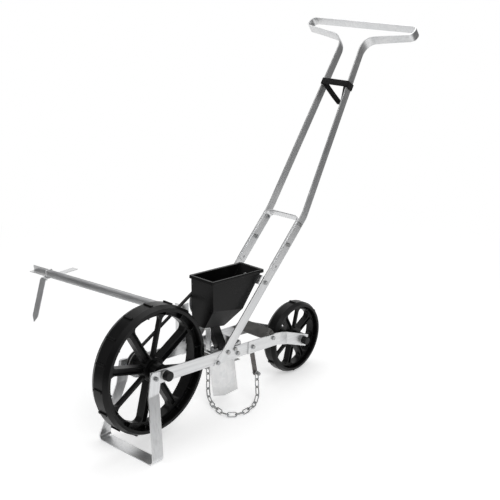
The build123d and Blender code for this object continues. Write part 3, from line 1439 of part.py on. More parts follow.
def stand_bolts():
    """Pivot bolts of the kickstand: thin heads inside the side bars, nuts outside."""
    pins = []
    for side in (1, -1):
        grip = stand_outer - bar_inner + NUT_THICKNESS + BOLT_TIP
        pins.append(bolt(inward(bar_inner, stand_pivot, side), grip, thick=SMALL_HEAD_THICKNESS))
    return group(pins)


def stand_nuts():
    return group(nut(facing(stand_outer, stand_pivot, side)) for side in (1, -1))


def stack_bolts(sides):
    return group(through_bolt(at, outer, inner, side) for side, rows in sides for at, outer, inner in rows)


def stack_nuts(sides):
    return group(through_nut(at, inner, side) for side, rows in sides for at, outer, inner in rows)


def save(name, shape):
    export_step(shape, "parts/" + name + ".step")


os.makedirs("parts", exist_ok=True)

bar_holes = [stand_pivot, foot_bolt, cross_bolt, *shoe_bolts, joint_bolt]
save("left_front_bar", front_bar(bar_holes))
save("right_front_bar", mirrored(front_bar(bar_holes + [post_bolt])))
arm = rear_arm()
save("left_rear_arm", arm)
save("right_rear_arm", mirrored(arm))
save("tail_strip", tail_strip())
save("cross_strip", cross_strip())
save("kickstand", kickstand())
save("kickstand_bolts", stand_bolts())
save("kickstand_nuts", stand_nuts())

handle_holes = [foot_bolt, cross_bolt, rear_bracket_bolt(), *handle_bolts_at, along_handle(SPARE_HOLE_AT)]
save("left_lower_handle", lower_handle(handle_holes))
save("right_lower_handle", mirrored(lower_handle(handle_holes)))
save("upper_handle", upper_handle())
save("handle_brace", handle_brace())
save("handle_strap", handle_strap())
save("handle_bolts", stack_bolts(handle_stacks()))
save("handle_nuts", stack_nuts(handle_stacks()))
save("frame_bolts", stack_bolts(frame_stacks()))
save("frame_nuts", stack_nuts(frame_stacks()))

save("front_wheel", front_wheel())
save("front_wheel_bushes", bushes(FRONT_HUB_HALF, front_axle_y, front_axle_z))
save("rear_wheel", rear_wheel())
save("rear_wheel_bushes", bushes(REAR_HUB_HALF, rear_axle_y, rear_axle_z))
save("front_axle", axle(FRAME_HALF, front_axle_y, front_axle_z))
save("rear_axle", axle(REAR_HALF, rear_axle_y, rear_axle_z))
front_washers = axle_washers(FRAME_HALF, front_axle_y, front_axle_z)
save("axle_washers", group(front_washers + axle_washers(REAR_HALF, rear_axle_y, rear_axle_z)))
front_caps = axle_caps(CAP_RADIUS, FRAME_HALF, front_axle_y, front_axle_z)
rear_caps = axle_caps(REAR_CAP_RADIUS, REAR_HALF, rear_axle_y, rear_axle_z)
save("axle_caps", group(front_caps + rear_caps))
save("wheel_spacers", wheel_spacers())

save("hopper", hopper())
save("hopper_support", hopper_support())
save("hopper_rear_bracket", hopper_rear_bracket())
save("hopper_bolts", hopper_bolts())
save("hopper_nuts", hopper_nuts())
save("seed_chute", seed_chute())
save("chute_screws", chute_screws())

save("seed_plate", seed_plate())
save("plate_hub", plate_hub())
save("plate_retainer", plate_retainer())
save("shaft_bush", shaft_bush())
save("drive_pulley", drive_pulley())
save("pulley_screws", pulley_screws())
save("driven_pulley", driven_pulley())
save("pulley_nut", pulley_nut())
save("drive_belt", drive_belt())

save("ground_opener", ground_opener())
save("opener_yoke", opener_yoke())
save("depth_bolt", depth_bolt())
save("depth_wing_nut", depth_wing_nut())

save("left_chain_strap", chain_strap(joint_bolt, left_chain_bolt, bar_inner - CHAIN_STRAP_THICKNESS, 1))
save("right_chain_strap", chain_strap(shoe_bolts[1], right_chain_bolt, FRAME_HALF, -1))
save("chain_bolts", chain_bolts())
save("chain_nuts", chain_nuts())
save("drag_chain", drag_chain())

save("marker_post", marker_post())
save("post_spacer", post_spacer())
save("marker_arm", marker_arm())
save("arm_pivot_bolt", arm_pivot_bolt())
save("arm_pivot_nut", arm_pivot_nut())
save("row_marker", row_marker())
save("marker_clip", marker_clip())
save("marker_clip_nuts", marker_clip_nuts())
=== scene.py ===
import math

import bmesh
import bpy
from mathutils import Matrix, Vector


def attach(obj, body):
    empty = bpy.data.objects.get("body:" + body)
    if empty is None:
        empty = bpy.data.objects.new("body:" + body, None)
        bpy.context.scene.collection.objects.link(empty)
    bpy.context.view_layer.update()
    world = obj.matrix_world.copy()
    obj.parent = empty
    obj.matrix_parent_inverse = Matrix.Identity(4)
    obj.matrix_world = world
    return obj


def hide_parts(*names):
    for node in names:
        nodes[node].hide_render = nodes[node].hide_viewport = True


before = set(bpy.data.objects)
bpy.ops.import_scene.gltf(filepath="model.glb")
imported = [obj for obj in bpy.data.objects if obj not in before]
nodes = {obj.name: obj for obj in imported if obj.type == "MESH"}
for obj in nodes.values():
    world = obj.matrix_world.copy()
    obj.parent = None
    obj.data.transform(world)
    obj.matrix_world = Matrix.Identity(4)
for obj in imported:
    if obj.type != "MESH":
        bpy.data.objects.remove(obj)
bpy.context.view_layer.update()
scene = bpy.context.scene

# Directions of the strips, as turns about the machine's width

BAR_LAY = math.radians(-5.4)
LOWER_HANDLE_LAY = math.radians(44.3)
UPPER_HANDLE_LAY = math.radians(57)
STAND_LAY = math.radians(80)
UPRIGHT_LAY = math.radians(90)
ACROSS_LAY = math.radians(90)
ARM_DROOP_LAY = math.radians(3.2)
HANDLE_BEND_HEIGHT = 0.487
HANDLE_BEND_BLEND = 0.01

# Handle strap, in metres

STRAP_MIDDLE = Vector((0, 0.80077, 0.80805))
STRAP_TILT = math.radians(57)
STRAP_HALF = 0.0451
STRAP_FRONT = 0.0147
STRAP_INNER = 0.0377
STRAP_WIDTH = 0.018
STRAP_THICKNESS = 0.0018
STRAP_DROP = math.radians(31)
STRAP_TIP = 0.068
STRAP_TIP_HALF = 0.005
STRAP_SAG = 0.0015
STRAP_CORNER = 0.003
END_SHARE = 0.9
SIDE_SHARE = 0.99
UPRIGHT_LEAST = 0.9
SAG_SHARE = 0.3
SMOOTH_ANGLE = math.radians(35)

# Grain of the finishes: cells per metre along each axis, turns in radians, heights in metres

EVEN = (0.0, 0.0, 0.0)
BAR_LINES = (900, 7, 900)
BAR_STREAKS = (210, 3, 210)
BAR_CLOUDS = (22, 7, 22)
BAR_SCRATCHES = (1500, 14, 1500)
SCRATCH_LEAN = 0.2
SCRATCH_SWING = 0.1
SHEET_CRYSTALS = (110, 110, 110)
SHEET_RUNS = (90, 90, 9)
SCOUR_FULL = 0.015
SCOUR_END = 0.06
BELT_LINES = (2200, 900, 900)
GLOSS_CHANGE = 0.06
WEAVE = {
    "Scale": 1.0, "Mortar Size": 0.012, "Mortar Smooth": 0.9, "Brick Width": 0.2, "Row Height": 0.085,
}

# Rounding of the edges in each finish, in metres

BAR_ROUNDING = 0.0009
PLASTIC_ROUNDING = 0.0011
ZINC_ROUNDING = 0.0005
SHEET_ROUNDING = 0.0006
COAT_ROUNDING = 0.0007
RUBBER_ROUNDING = 0.0006
BRONZE_ROUNDING = 0.0005

# Colours of the finishes

ALUMINIUM_DIM = (0.66, 0.67, 0.68)
ALUMINIUM_PALE = (0.8, 0.8, 0.8)
ALUMINIUM_LINE = (0.58, 0.585, 0.59)
ALUMINIUM_STREAK = (0.4, 0.4, 0.41)
# Pale metal for rubbed edges; on the drawn aluminium it is partly edge wear and partly a painted
# highlight along every edge
RUBBED_METAL_AND_EDGE_HIGHLIGHT = (0.88, 0.88, 0.88)
RUBBED_PLASTIC = (0.035, 0.035, 0.036)
SHEET_DIM = (0.76, 0.765, 0.77)
SHEET_PALE = (0.83, 0.83, 0.83)
SHEET_RUN = (0.66, 0.66, 0.66)
SHEET_SCOURED = (0.5, 0.49, 0.47)
SHEET_RUBBED = (0.86, 0.86, 0.86)
BARE_STEEL = (0.62, 0.62, 0.62)
COAT_TINT = (1.0, 0.98, 0.95)
BROWN_TINT = (1.0, 0.92, 0.88)
RUBBER_DARK = (0.012, 0.012, 0.012)
RUBBER_BLOOM = (0.03, 0.029, 0.028)
BRONZE_DIM = (0.5, 0.33, 0.17)
BRONZE_PALE = (0.66, 0.46, 0.25)
BRONZE_PORE = (0.2, 0.13, 0.07)
WEBBING_DARK = (0.004, 0.004, 0.0045)
WEBBING_WORN = (0.012, 0.012, 0.013)
WEBBING_GAP = (0.003, 0.003, 0.003)

# Studio

AIM = Vector((-0.0004, 0.4418, 0.41275))
EYE = Vector((1.6863, -1.4125, 1.2735))
LENS = 71.88
SENSOR = 36
WHITE = (1, 1, 1, 1)
FLOOR_RADIUS = 25
FLOOR_SINK = 0.0005
FLOOR_TONE = (0.86, 0.86, 0.86, 1)
FADE_START = 0.9
FADE_END = 1.7
FLOOR_MIDDLE = (-0.1, 0.45, 0)
FLOOR_LIFT = 0.42
ROOM_LIGHT = 0.42
RIGHT_FACING = (0.881, 0.474, 0)
LEFT_FACING = (-0.555, -0.832, 0)
FLAG_FOOT = 0.03
FLAG_HEIGHT = 2.4
FLAG_LENGTH = 6.0
FLAG_TONE = 0.2
RIGHT_REACH = 1.35
LEFT_REACH = 0.8
LAMPS = (
    ("key_lamp", (2.4, -0.6, 2.7), 1.8, 34),
    ("fill_lamp", (-1.8, -2.6, 1.9), 2.2, 18),
    ("top_lamp", (-0.4, 1.4, 3.2), 2.4, 22),
)


# Building materials

def new_finish(name, metallic=0.0, specular=0.5):
    """Material whose even values sit on the shader itself."""
    material = bpy.data.materials.new(name)
    material.use_nodes = True
    shader = material.node_tree.nodes["Principled BSDF"]
    shader.inputs["Metallic"].default_value = metallic
    shader.inputs["Specular IOR Level"].default_value = specular
    return material, material.node_tree, shader


def add(tree, kind, sockets=None, **settings):
    """One node with its settings and socket values."""
    node = tree.nodes.new(kind)
    for name, value in settings.items():
        setattr(node, name, value)
    for name, value in (sockets or {}).items():
        node.inputs[name].default_value = value
    return node


def lay_along(tree, turn, grain):
    """Object coordinates turned along a strip and stretched to its grain, in cells per metre."""
    coords = add(tree, "ShaderNodeTexCoord")
    place = add(tree, "ShaderNodeMapping", vector_type="TEXTURE")
    place.inputs["Rotation"].default_value = turn
    place.inputs["Scale"].default_value = [1 / count for count in grain]
    tree.links.new(coords.outputs["Object"], place.inputs["Vector"])
    return place.outputs["Vector"]


def speckle(tree, vector, detail, roughness):
    """Noise read at the given coordinates."""
    noise = add(tree, "ShaderNodeTexNoise", {"Scale": 1.0, "Detail": detail, "Roughness": roughness})
    tree.links.new(vector, noise.inputs["Vector"])
    return noise.outputs["Fac"]


def even_speckle(tree, count, detail, roughness):
    """Noise alike in all directions, in cells per metre."""
    return speckle(tree, lay_along(tree, EVEN, (count, count, count)), detail, roughness)


def spread(tree, value, low, high, start=0.3, end=0.7):
    """Value between start and end taken to the range low to high."""
    ranged = add(
        tree, "ShaderNodeMapRange",
        {"From Min": start, "From Max": end, "To Min": low, "To Max": high},
    )
    tree.links.new(value, ranged.inputs["Value"])
    return ranged.outputs["Result"]


def blend_colours(tree, amount, first, second):
    """Colour between two others; either may be a socket or plain numbers."""
    mix = add(tree, "ShaderNodeMix", data_type="RGBA")
    tree.links.new(amount, mix.inputs["Factor"])
    for name, colour in (("A", first), ("B", second)):
        socket = [one for one in mix.inputs if one.name == name and one.type == "RGBA"][0]
        if isinstance(colour, tuple):
            socket.default_value = (*colour, 1)
        else:
            tree.links.new(colour, socket)
    return [one for one in mix.outputs if one.type == "RGBA"][0]


def calculate(tree, operation, first, second):
    """Two values put together; either may be a plain number."""
    node = add(tree, "ShaderNodeMath", operation=operation)
    for number, value in enumerate((first, second)):
        if isinstance(value, (int, float)):
            node.inputs[number].default_value = value
        else:
            tree.links.new(value, node.inputs[number])
    return node.outputs["Value"]


def scaled(tree, value, share):
    """Value made smaller by a share."""
    return calculate(tree, "MULTIPLY", value, share)


def object_height(tree):
    """Height of a point in the piece's own coordinates."""
    coords = add(tree, "ShaderNodeTexCoord")
    height = add(tree, "ShaderNodeSeparateXYZ")
    tree.links.new(coords.outputs["Object"], height.inputs["Vector"])
    return height.outputs["Z"]


def dress(tree, shader, colour, roughness, normal):
    """Joins the colour, the roughness and the surface direction to the shader."""
    tree.links.new(colour, shader.inputs["Base Color"])
    tree.links.new(roughness, shader.inputs["Roughness"])
    tree.links.new(normal, shader.inputs["Normal"])


def soft_edge(tree, radius):
    """Surface direction as if each edge were rounded to the radius."""
    bevel = add(tree, "ShaderNodeBevel", {"Radius": radius}, samples=6)
    return bevel.outputs["Normal"]


def edge_wear_and_highlight(tree, rounded):
    """One along the edges of a piece and nought on its flats."""
    surface = add(tree, "ShaderNodeNewGeometry")
    match = add(tree, "ShaderNodeVectorMath", operation="DOT_PRODUCT")
    tree.links.new(rounded, match.inputs[0])
    tree.links.new(surface.outputs["True Normal"], match.inputs[1])
    return spread(tree, match.outputs["Value"], 1.0, 0.0, 0.8, 0.98)


def raise_surface(tree, height, rounded, strength, depth):
    """Small relief on top of the rounded edges."""
    bump = add(tree, "ShaderNodeBump", {"Strength": strength, "Distance": depth})
    tree.links.new(height, bump.inputs["Height"])
    tree.links.new(rounded, bump.inputs["Normal"])
    return bump.outputs["Normal"]


# Finishes

def strip_grain(tree, turns, grain, detail, roughness):
    """Noise drawn out along a strip; a bent strip has a second turn for its part below the bend."""
    values = [speckle(tree, lay_along(tree, turn, grain), detail, roughness) for turn in turns]
    if len(values) == 1:
        return values[0]
    start = HANDLE_BEND_HEIGHT - HANDLE_BEND_BLEND
    end = HANDLE_BEND_HEIGHT + HANDLE_BEND_BLEND
    above = spread(tree, object_height(tree), 0.0, 1.0, start, end)
    step = calculate(tree, "MULTIPLY", calculate(tree, "SUBTRACT", values[0], values[1]), above)
    return calculate(tree, "ADD", values[1], step)


def drawn_aluminium(name, turns):
    """Flat bar as it leaves the mill: fine lines and streaks along it, cloudy patches, scratches, and
    every edge lightened, partly as wear and partly as a painted highlight.
    """
    material, tree, shader = new_finish(name, metallic=1.0)
    lines = strip_grain(tree, turns, BAR_LINES, 4.0, 0.65)
    streaks = strip_grain(tree, turns, BAR_STREAKS, 2.0, 0.5)
    clouds = strip_grain(tree, turns, BAR_CLOUDS, 3.0, 0.55)
    slanted = [(turn[0] + SCRATCH_LEAN, turn[1], turn[2] + SCRATCH_SWING) for turn in turns]
    scratches = strip_grain(tree, slanted, BAR_SCRATCHES, 1.0, 0.4)
    scratch = spread(tree, scratches, 0.0, 1.0, 0.7, 0.76)
    rounded = soft_edge(tree, BAR_ROUNDING)
    edges = edge_wear_and_highlight(tree, rounded)
    base = blend_colours(tree, spread(tree, clouds, 0.0, 1.0), ALUMINIUM_DIM, ALUMINIUM_PALE)
    lined = blend_colours(tree, spread(tree, lines, 0.0, 0.3), base, ALUMINIUM_LINE)
    streaked = blend_colours(tree, spread(tree, streaks, 0.0, 0.3, 0.45, 0.72), lined, ALUMINIUM_STREAK)
    # Every edge lightened evenly towards pale metal: partly edge wear, partly a painted highlight
    shown = blend_colours(tree, scaled(tree, edges, 0.35), streaked, RUBBED_METAL_AND_EDGE_HIGHLIGHT)
    dull = calculate(tree, "ADD", spread(tree, lines, 0.25, 0.4), spread(tree, clouds, 0.0, 0.12))
    rough = calculate(tree, "ADD", dull, scaled(tree, scratch, 0.06))
    relief = calculate(tree, "SUBTRACT", lines, scaled(tree, scratch, 0.3))
    dress(tree, shader, shown, rough, raise_surface(tree, relief, rounded, 0.06, 0.0001))
    return material


def moulded_black(name, shade, gloss, specular):
    """Satin black plastic with a fine moulded grain and paler rubbed edges."""
    material, tree, shader = new_finish(name, specular=specular)
    grain = even_speckle(tree, 1300, 2.0, 0.6)
    flow = even_speckle(tree, 16, 4.0, 0.6)
    rub = even_speckle(tree, 120, 3.0, 0.7)
    rounded = soft_edge(tree, PLASTIC_ROUNDING)
    edges = edge_wear_and_highlight(tree, rounded)
    base = blend_colours(
        tree, spread(tree, flow, 0.0, 1.0),
        (shade * 0.8, shade * 0.8, shade * 0.82), (shade * 1.35, shade * 1.35, shade * 1.4),
    )
    rubbed = calculate(tree, "MULTIPLY", edges, spread(tree, rub, 0.1, 0.55))
    shown = blend_colours(tree, rubbed, base, RUBBED_PLASTIC)
    satin = spread(tree, flow, gloss - GLOSS_CHANGE, gloss + GLOSS_CHANGE)
    rough = calculate(tree, "ADD", satin, spread(tree, grain, -0.03, 0.03))
    dress(tree, shader, shown, rough, raise_surface(tree, grain, rounded, 0.22, 0.00015))
    return material


def zinc_plate(name, shade):
    """Bright zinc: faint blue and straw patches, tiny pits, edges rubbed brighter."""
    material, tree, shader = new_finish(name, metallic=1.0)
    patches = even_speckle(tree, 140, 3.0, 0.6)
    pits = even_speckle(tree, 1800, 2.0, 0.6)
    rounded = soft_edge(tree, ZINC_ROUNDING)
    edges = edge_wear_and_highlight(tree, rounded)
    base = blend_colours(
        tree, spread(tree, patches, 0.0, 1.0),
        (shade * 0.9, shade * 0.94, shade), (shade, shade * 0.98, shade * 0.92),
    )
    shown = blend_colours(tree, scaled(tree, edges, 0.6), base, RUBBED_METAL_AND_EDGE_HIGHLIGHT)
    rough = calculate(tree, "ADD", spread(tree, patches, 0.24, 0.38), spread(tree, pits, -0.04, 0.06))
    dress(tree, shader, shown, rough, raise_surface(tree, pits, rounded, 0.12, 0.0001))
    return material


def galvanised_sheet(name):
    """Zinc-dipped sheet: crystal patches, runs down its height, a scoured lower edge."""
    material, tree, shader = new_finish(name, metallic=0.9)
    crystals = add(tree, "ShaderNodeTexVoronoi", {"Scale": 1.0, "Randomness": 1.0})
    tree.links.new(lay_along(tree, EVEN, SHEET_CRYSTALS), crystals.inputs["Vector"])
    tone = add(tree, "ShaderNodeSeparateColor")
    tree.links.new(crystals.outputs["Color"], tone.inputs["Color"])
    runs = speckle(tree, lay_along(tree, EVEN, SHEET_RUNS), 3.0, 0.6)
    soil = even_speckle(tree, 60, 4.0, 0.65)
    rounded = soft_edge(tree, SHEET_ROUNDING)
    edges = edge_wear_and_highlight(tree, rounded)
    base = blend_colours(tree, tone.outputs["Red"], SHEET_DIM, SHEET_PALE)
    streaked = blend_colours(tree, spread(tree, runs, 0.0, 0.3, 0.45, 0.75), base, SHEET_RUN)
    low = spread(tree, object_height(tree), 1.0, 0.0, SCOUR_FULL, SCOUR_END)
    scoured = calculate(tree, "MULTIPLY", low, spread(tree, soil, 0.0, 0.7))
    worked = blend_colours(tree, scoured, streaked, SHEET_SCOURED)
    shown = blend_colours(tree, scaled(tree, edges, 0.6), worked, SHEET_RUBBED)
    facets = spread(tree, tone.outputs["Green"], 0.34, 0.46, 0.0, 1.0)
    rough = calculate(tree, "ADD", facets, scaled(tree, scoured, 0.2))
    dress(tree, shader, shown, rough, raise_surface(tree, runs, rounded, 0.15, 0.0003))
    return material


def dark_coat(name, shade, tint):
    """Dark baked coat on steel, worn to bright metal along its cut edges."""
    material, tree, shader = new_finish(name, metallic=0.55)
    clouds = even_speckle(tree, 45, 4.0, 0.6)
    grain = even_speckle(tree, 1200, 2.0, 0.6)
    chips = even_speckle(tree, 260, 3.0, 0.7)
    rounded = soft_edge(tree, COAT_ROUNDING)
    edges = edge_wear_and_highlight(tree, rounded)
    dim = tuple(shade * 0.75 * part for part in tint)
    pale = tuple(shade * 1.5 * part for part in tint)
    base = blend_colours(tree, spread(tree, clouds, 0.0, 1.0), dim, pale)
    chipped = calculate(tree, "MULTIPLY", edges, spread(tree, chips, 0.25, 1.0, 0.35, 0.6))
    shown = blend_colours(tree, chipped, base, BARE_STEEL)
    rough = calculate(tree, "ADD", spread(tree, clouds, 0.34, 0.48), spread(tree, grain, -0.04, 0.04))
    dress(tree, shader, shown, rough, raise_surface(tree, grain, rounded, 0.2, 0.00015))
    return material


def belt_rubber(name):
    """Matt rubber with a pale bloom and fine moulding lines across it."""
    material, tree, shader = new_finish(name, specular=0.25)
    bloom = even_speckle(tree, 70, 4.0, 0.65)
    grain = speckle(tree, lay_along(tree, EVEN, BELT_LINES), 2.0, 0.6)
    rounded = soft_edge(tree, RUBBER_ROUNDING)
    shown = blend_colours(tree, spread(tree, bloom, 0.0, 1.0), RUBBER_DARK, RUBBER_BLOOM)
    rough = spread(tree, bloom, 0.6, 0.78)
    dress(tree, shader, shown, rough, raise_surface(tree, grain, rounded, 0.35, 0.0003))
    return material


def bearing_bronze(name):
    """Sintered bronze, speckled with pores."""
    material, tree, shader = new_finish(name, metallic=1.0)
    pores = even_speckle(tree, 1600, 2.0, 0.6)
    tone = even_speckle(tree, 150, 3.0, 0.6)
    rounded = soft_edge(tree, BRONZE_ROUNDING)
    base = blend_colours(tree, spread(tree, tone, 0.0, 1.0), BRONZE_DIM, BRONZE_PALE)
    shown = blend_colours(tree, spread(tree, pores, 0.0, 0.7, 0.55, 0.7), base, BRONZE_PORE)
    rough = spread(tree, tone, 0.38, 0.52)
    dress(tree, shader, shown, rough, raise_surface(tree, pores, rounded, 0.25, 0.0002))
    return material


def strap_webbing(name):
    """Woven black tape: staggered cords along it, fuzz, paler worn crowns."""
    material, tree, shader = new_finish(name, specular=0.15)
    shader.inputs["Sheen Weight"].default_value = 0.06
    shader.inputs["Sheen Roughness"].default_value = 0.5
    along = add(tree, "ShaderNodeUVMap", uv_map="UVMap")
    cords = add(tree, "ShaderNodeTexBrick", WEAVE, offset=0.5)
    tree.links.new(along.outputs["UV"], cords.inputs["Vector"])
    fuzz = even_speckle(tree, 1800, 3.0, 0.7)
    worn = even_speckle(tree, 160, 3.0, 0.6)
    base = blend_colours(tree, spread(tree, worn, 0.0, 1.0), WEBBING_DARK, WEBBING_WORN)
    shown = blend_colours(tree, scaled(tree, cords.outputs["Fac"], 0.8), base, WEBBING_GAP)
    rough = spread(tree, fuzz, 0.62, 0.85)
    surface = add(tree, "ShaderNodeNewGeometry")
    threads = calculate(tree, "SUBTRACT", scaled(tree, fuzz, 0.4), cords.outputs["Fac"])
    raised = raise_surface(tree, threads, surface.outputs["Normal"], 0.7, 0.0004)
    dress(tree, shader, shown, rough, raised)
    return material


# Shaping pieces by hand

def pick(piece, wanted):
    """In edit mode, selects the corners of a piece whose place passes the test."""
    bpy.ops.mesh.select_mode(type="VERT")
    bpy.ops.mesh.select_all(action="DESELECT")
    shape = bmesh.from_edit_mesh(piece.data)
    for corner in shape.verts:
        corner.select = wanted(corner.co)
    shape.select_flush(True)
    bmesh.update_edit_mesh(piece.data)


def pull(step):
    """Draws the selected edge out by a step."""
    bpy.ops.mesh.extrude_region_move(TRANSFORM_OT_translate={"value": step})


def apply_modifier(piece, kind, **settings):
    """Adds a modifier to a piece and makes it part of the mesh."""
    modifier = piece.modifiers.new(kind.title(), kind)
    for name, value in settings.items():
        setattr(modifier, name, value)
    bpy.context.view_layer.objects.active = piece
    bpy.ops.object.modifier_apply(modifier=modifier.name)


def tape_piece(name, place, turn, length):
    """Flat start of a tape, as long as given across the machine, its weave scaled to its width."""
    bpy.ops.object.select_all(action="DESELECT")
    bpy.ops.mesh.primitive_plane_add(size=STRAP_WIDTH, location=place, rotation=(turn, 0, 0))
    tape = bpy.context.object
    tape.name = name
    tape.scale.x = length / STRAP_WIDTH
    bpy.ops.object.transform_apply(location=True, rotation=True, scale=True)
    bpy.ops.object.mode_set(mode="EDIT")
    shape = bmesh.from_edit_mesh(tape.data)
    weave = shape.loops.layers.uv.active
    for face in shape.faces:
        shape.faces.active = face
        for corner in face.loops:
            corner[weave].uv.x *= length / STRAP_WIDTH
    bmesh.update_edit_mesh(tape.data)
    return tape


def lay_weave(tape):
    """Runs the weave of the first stretch on along the whole tape."""
    bpy.ops.mesh.select_all(action="SELECT")
    shape = bmesh.from_edit_mesh(tape.data)
    weave = shape.loops.layers.uv.active
    for face in shape.faces:
        for corner in face.loops:
            corner[weave].select = True
            corner[weave].select_edge = True
    bmesh.update_edit_mesh(tape.data)
    bpy.ops.uv.follow_active_quads(mode="LENGTH")
    bpy.ops.object.mode_set(mode="OBJECT")


def handle_webbing():
    """Strap hooked round the handle legs, flat in front, with a sewn vee hanging between them."""
    up = Vector((0, math.cos(STRAP_TILT), math.sin(STRAP_TILT)))
    back = Vector((0, math.sin(STRAP_TILT), -math.cos(STRAP_TILT)))
    down = back * math.cos(STRAP_DROP) - up * math.sin(STRAP_DROP)
    across = Vector((1, 0, 0))
    front = STRAP_MIDDLE - back * STRAP_FRONT

    first = STRAP_HALF / 2
    strap = tape_piece("handle_webbing", front + across * first / 2, STRAP_TILT, first)
    pick(strap, lambda place: place.x > first * END_SHARE)
    pull(across * (STRAP_HALF - first))
    pull(back * STRAP_FRONT * 2)
    pull(across * (STRAP_INNER - STRAP_HALF))
    lay_weave(strap)
    bpy.ops.object.mode_set(mode="EDIT")
    pick(strap, lambda place: place.x > STRAP_HALF * SIDE_SHARE)
    bpy.ops.mesh.select_mode(type="EDGE")
    shape = bmesh.from_edit_mesh(strap.data)
    for edge in shape.edges:
        run = edge.verts[1].co - edge.verts[0].co
        edge.select = edge.select and abs(run.normalized().dot(up)) > UPRIGHT_LEAST
    bpy.ops.mesh.bevel(offset=STRAP_CORNER, segments=4)
    bpy.ops.object.mode_set(mode="OBJECT")

    tip = front + down * STRAP_TIP
    tip_middle = tip + across * STRAP_TIP_HALF / 2
    vee = tape_piece("sewn_vee", tip_middle, STRAP_TILT - STRAP_DROP, STRAP_TIP_HALF)
    pick(vee, lambda place: place.x > STRAP_TIP_HALF * END_SHARE)
    climb = across * (STRAP_INNER - STRAP_TIP_HALF) - down * (STRAP_TIP - STRAP_THICKNESS)
    sag = Vector((0, 0, STRAP_SAG))
    pull(climb * SAG_SHARE - sag)
    pull(climb * (1 - 2 * SAG_SHARE))
    pull(climb * SAG_SHARE + sag)
    lay_weave(vee)

    bpy.ops.object.select_all(action="DESELECT")
    vee.select_set(True)
    strap.select_set(True)
    bpy.context.view_layer.objects.active = strap
    bpy.ops.object.join()
    apply_modifier(strap, "MIRROR", use_clip=True, merge_threshold=0.0002)
    bpy.ops.object.mode_set(mode="EDIT")
    bpy.ops.mesh.select_all(action="SELECT")
    bpy.ops.mesh.normals_make_consistent(inside=False)
    bpy.ops.object.mode_set(mode="OBJECT")
    apply_modifier(strap, "SOLIDIFY", thickness=STRAP_THICKNESS, offset=0)
    apply_modifier(strap, "BEVEL", width=STRAP_THICKNESS / 4, segments=2, limit_method="ANGLE")
    bpy.ops.object.shade_smooth_by_angle(angle=SMOOTH_ANGLE)
    return strap


webbing = strap_webbing("black_webbing")
strap = handle_webbing()
strap.data.materials.append(webbing)
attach(strap, "frame")
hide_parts("handle_strap")

# Finishes of the pieces

along_bars = drawn_aluminium("bar_aluminium", [(BAR_LAY, 0, 0)])
along_lower = drawn_aluminium("lower_handle_aluminium", [(LOWER_HANDLE_LAY, 0, 0)])
bent_lay = [(UPPER_HANDLE_LAY, 0, 0), (LOWER_HANDLE_LAY, 0, 0)]
along_upper = drawn_aluminium("upper_handle_aluminium", bent_lay)
along_stand = drawn_aluminium("stand_aluminium", [(STAND_LAY, 0, 0)])
across_strips = drawn_aluminium("cross_strip_aluminium", [(0, 0, ACROSS_LAY)])
along_arm = drawn_aluminium("marker_arm_aluminium", [(0, -ARM_DROOP_LAY, ACROSS_LAY)])
along_marker = drawn_aluminium("marker_aluminium", [(UPRIGHT_LAY, 0, 0)])
wheel_black = moulded_black("wheel_black", 0.003, 0.34, 0.18)
hopper_black = moulded_black("hopper_black", 0.003, 0.3, 0.16)
small_black = moulded_black("trim_black", 0.004, 0.4, 0.25)
bright_zinc = zinc_plate("zinc_fasteners", 0.4)
cast_metal = zinc_plate("pulley_metal", 0.66)
chain_zinc = zinc_plate("zinc_chain", 0.45)
sheet_zinc = galvanised_sheet("opener_sheet")
tail_coat = dark_coat("tail_strip_coat", 0.07, COAT_TINT)
strap_coat = dark_coat("chain_strap_coat", 0.1, BROWN_TINT)
rubber = belt_rubber("belt_rubber")
bronze = bearing_bronze("bush_bronze")

pieces_by_finish = [
    (along_bars, "left_front_bar right_front_bar left_rear_arm right_rear_arm"),
    (along_lower, "left_lower_handle right_lower_handle handle_brace"),
    (along_upper, "upper_handle"),
    (along_stand, "kickstand"),
    (across_strips, "cross_strip hopper_support hopper_rear_bracket opener_yoke"),
    (along_arm, "marker_arm"),
    (along_marker, "marker_post row_marker marker_clip"),
    (wheel_black, "front_wheel rear_wheel"),
    (hopper_black, "hopper seed_chute"),
    (small_black, "axle_caps seed_plate plate_hub wheel_spacers"),
    (cast_metal, "drive_pulley driven_pulley"),
    (bright_zinc, "kickstand_bolts kickstand_nuts handle_bolts handle_nuts frame_bolts frame_nuts"),
    (bright_zinc, "front_axle rear_axle axle_washers hopper_bolts hopper_nuts chute_screws"),
    (bright_zinc, "plate_retainer"),
    (bright_zinc, "pulley_screws pulley_nut depth_bolt depth_wing_nut chain_bolts chain_nuts"),
    (bright_zinc, "arm_pivot_bolt arm_pivot_nut post_spacer marker_clip_nuts"),
    (chain_zinc, "drag_chain"),
    (sheet_zinc, "ground_opener"),
    (tail_coat, "tail_strip"),
    (strap_coat, "left_chain_strap right_chain_strap"),
    (rubber, "drive_belt"),
    (bronze, "front_wheel_bushes rear_wheel_bushes shaft_bush"),
]
for finish, names in pieces_by_finish:
    for name in names.split():
        for place in nodes[name].material_slots:
            place.material = finish

# Studio floor, light and camera

def seen_straight(tree):
    """One for what the camera, a gloss or a clear surface sees, nought for what lights the object."""
    path = add(tree, "ShaderNodeLightPath")
    mirror = calculate(tree, "MAXIMUM", path.outputs["Is Camera Ray"], path.outputs["Is Glossy Ray"])
    return calculate(tree, "MAXIMUM", mirror, path.outputs["Is Transmission Ray"])


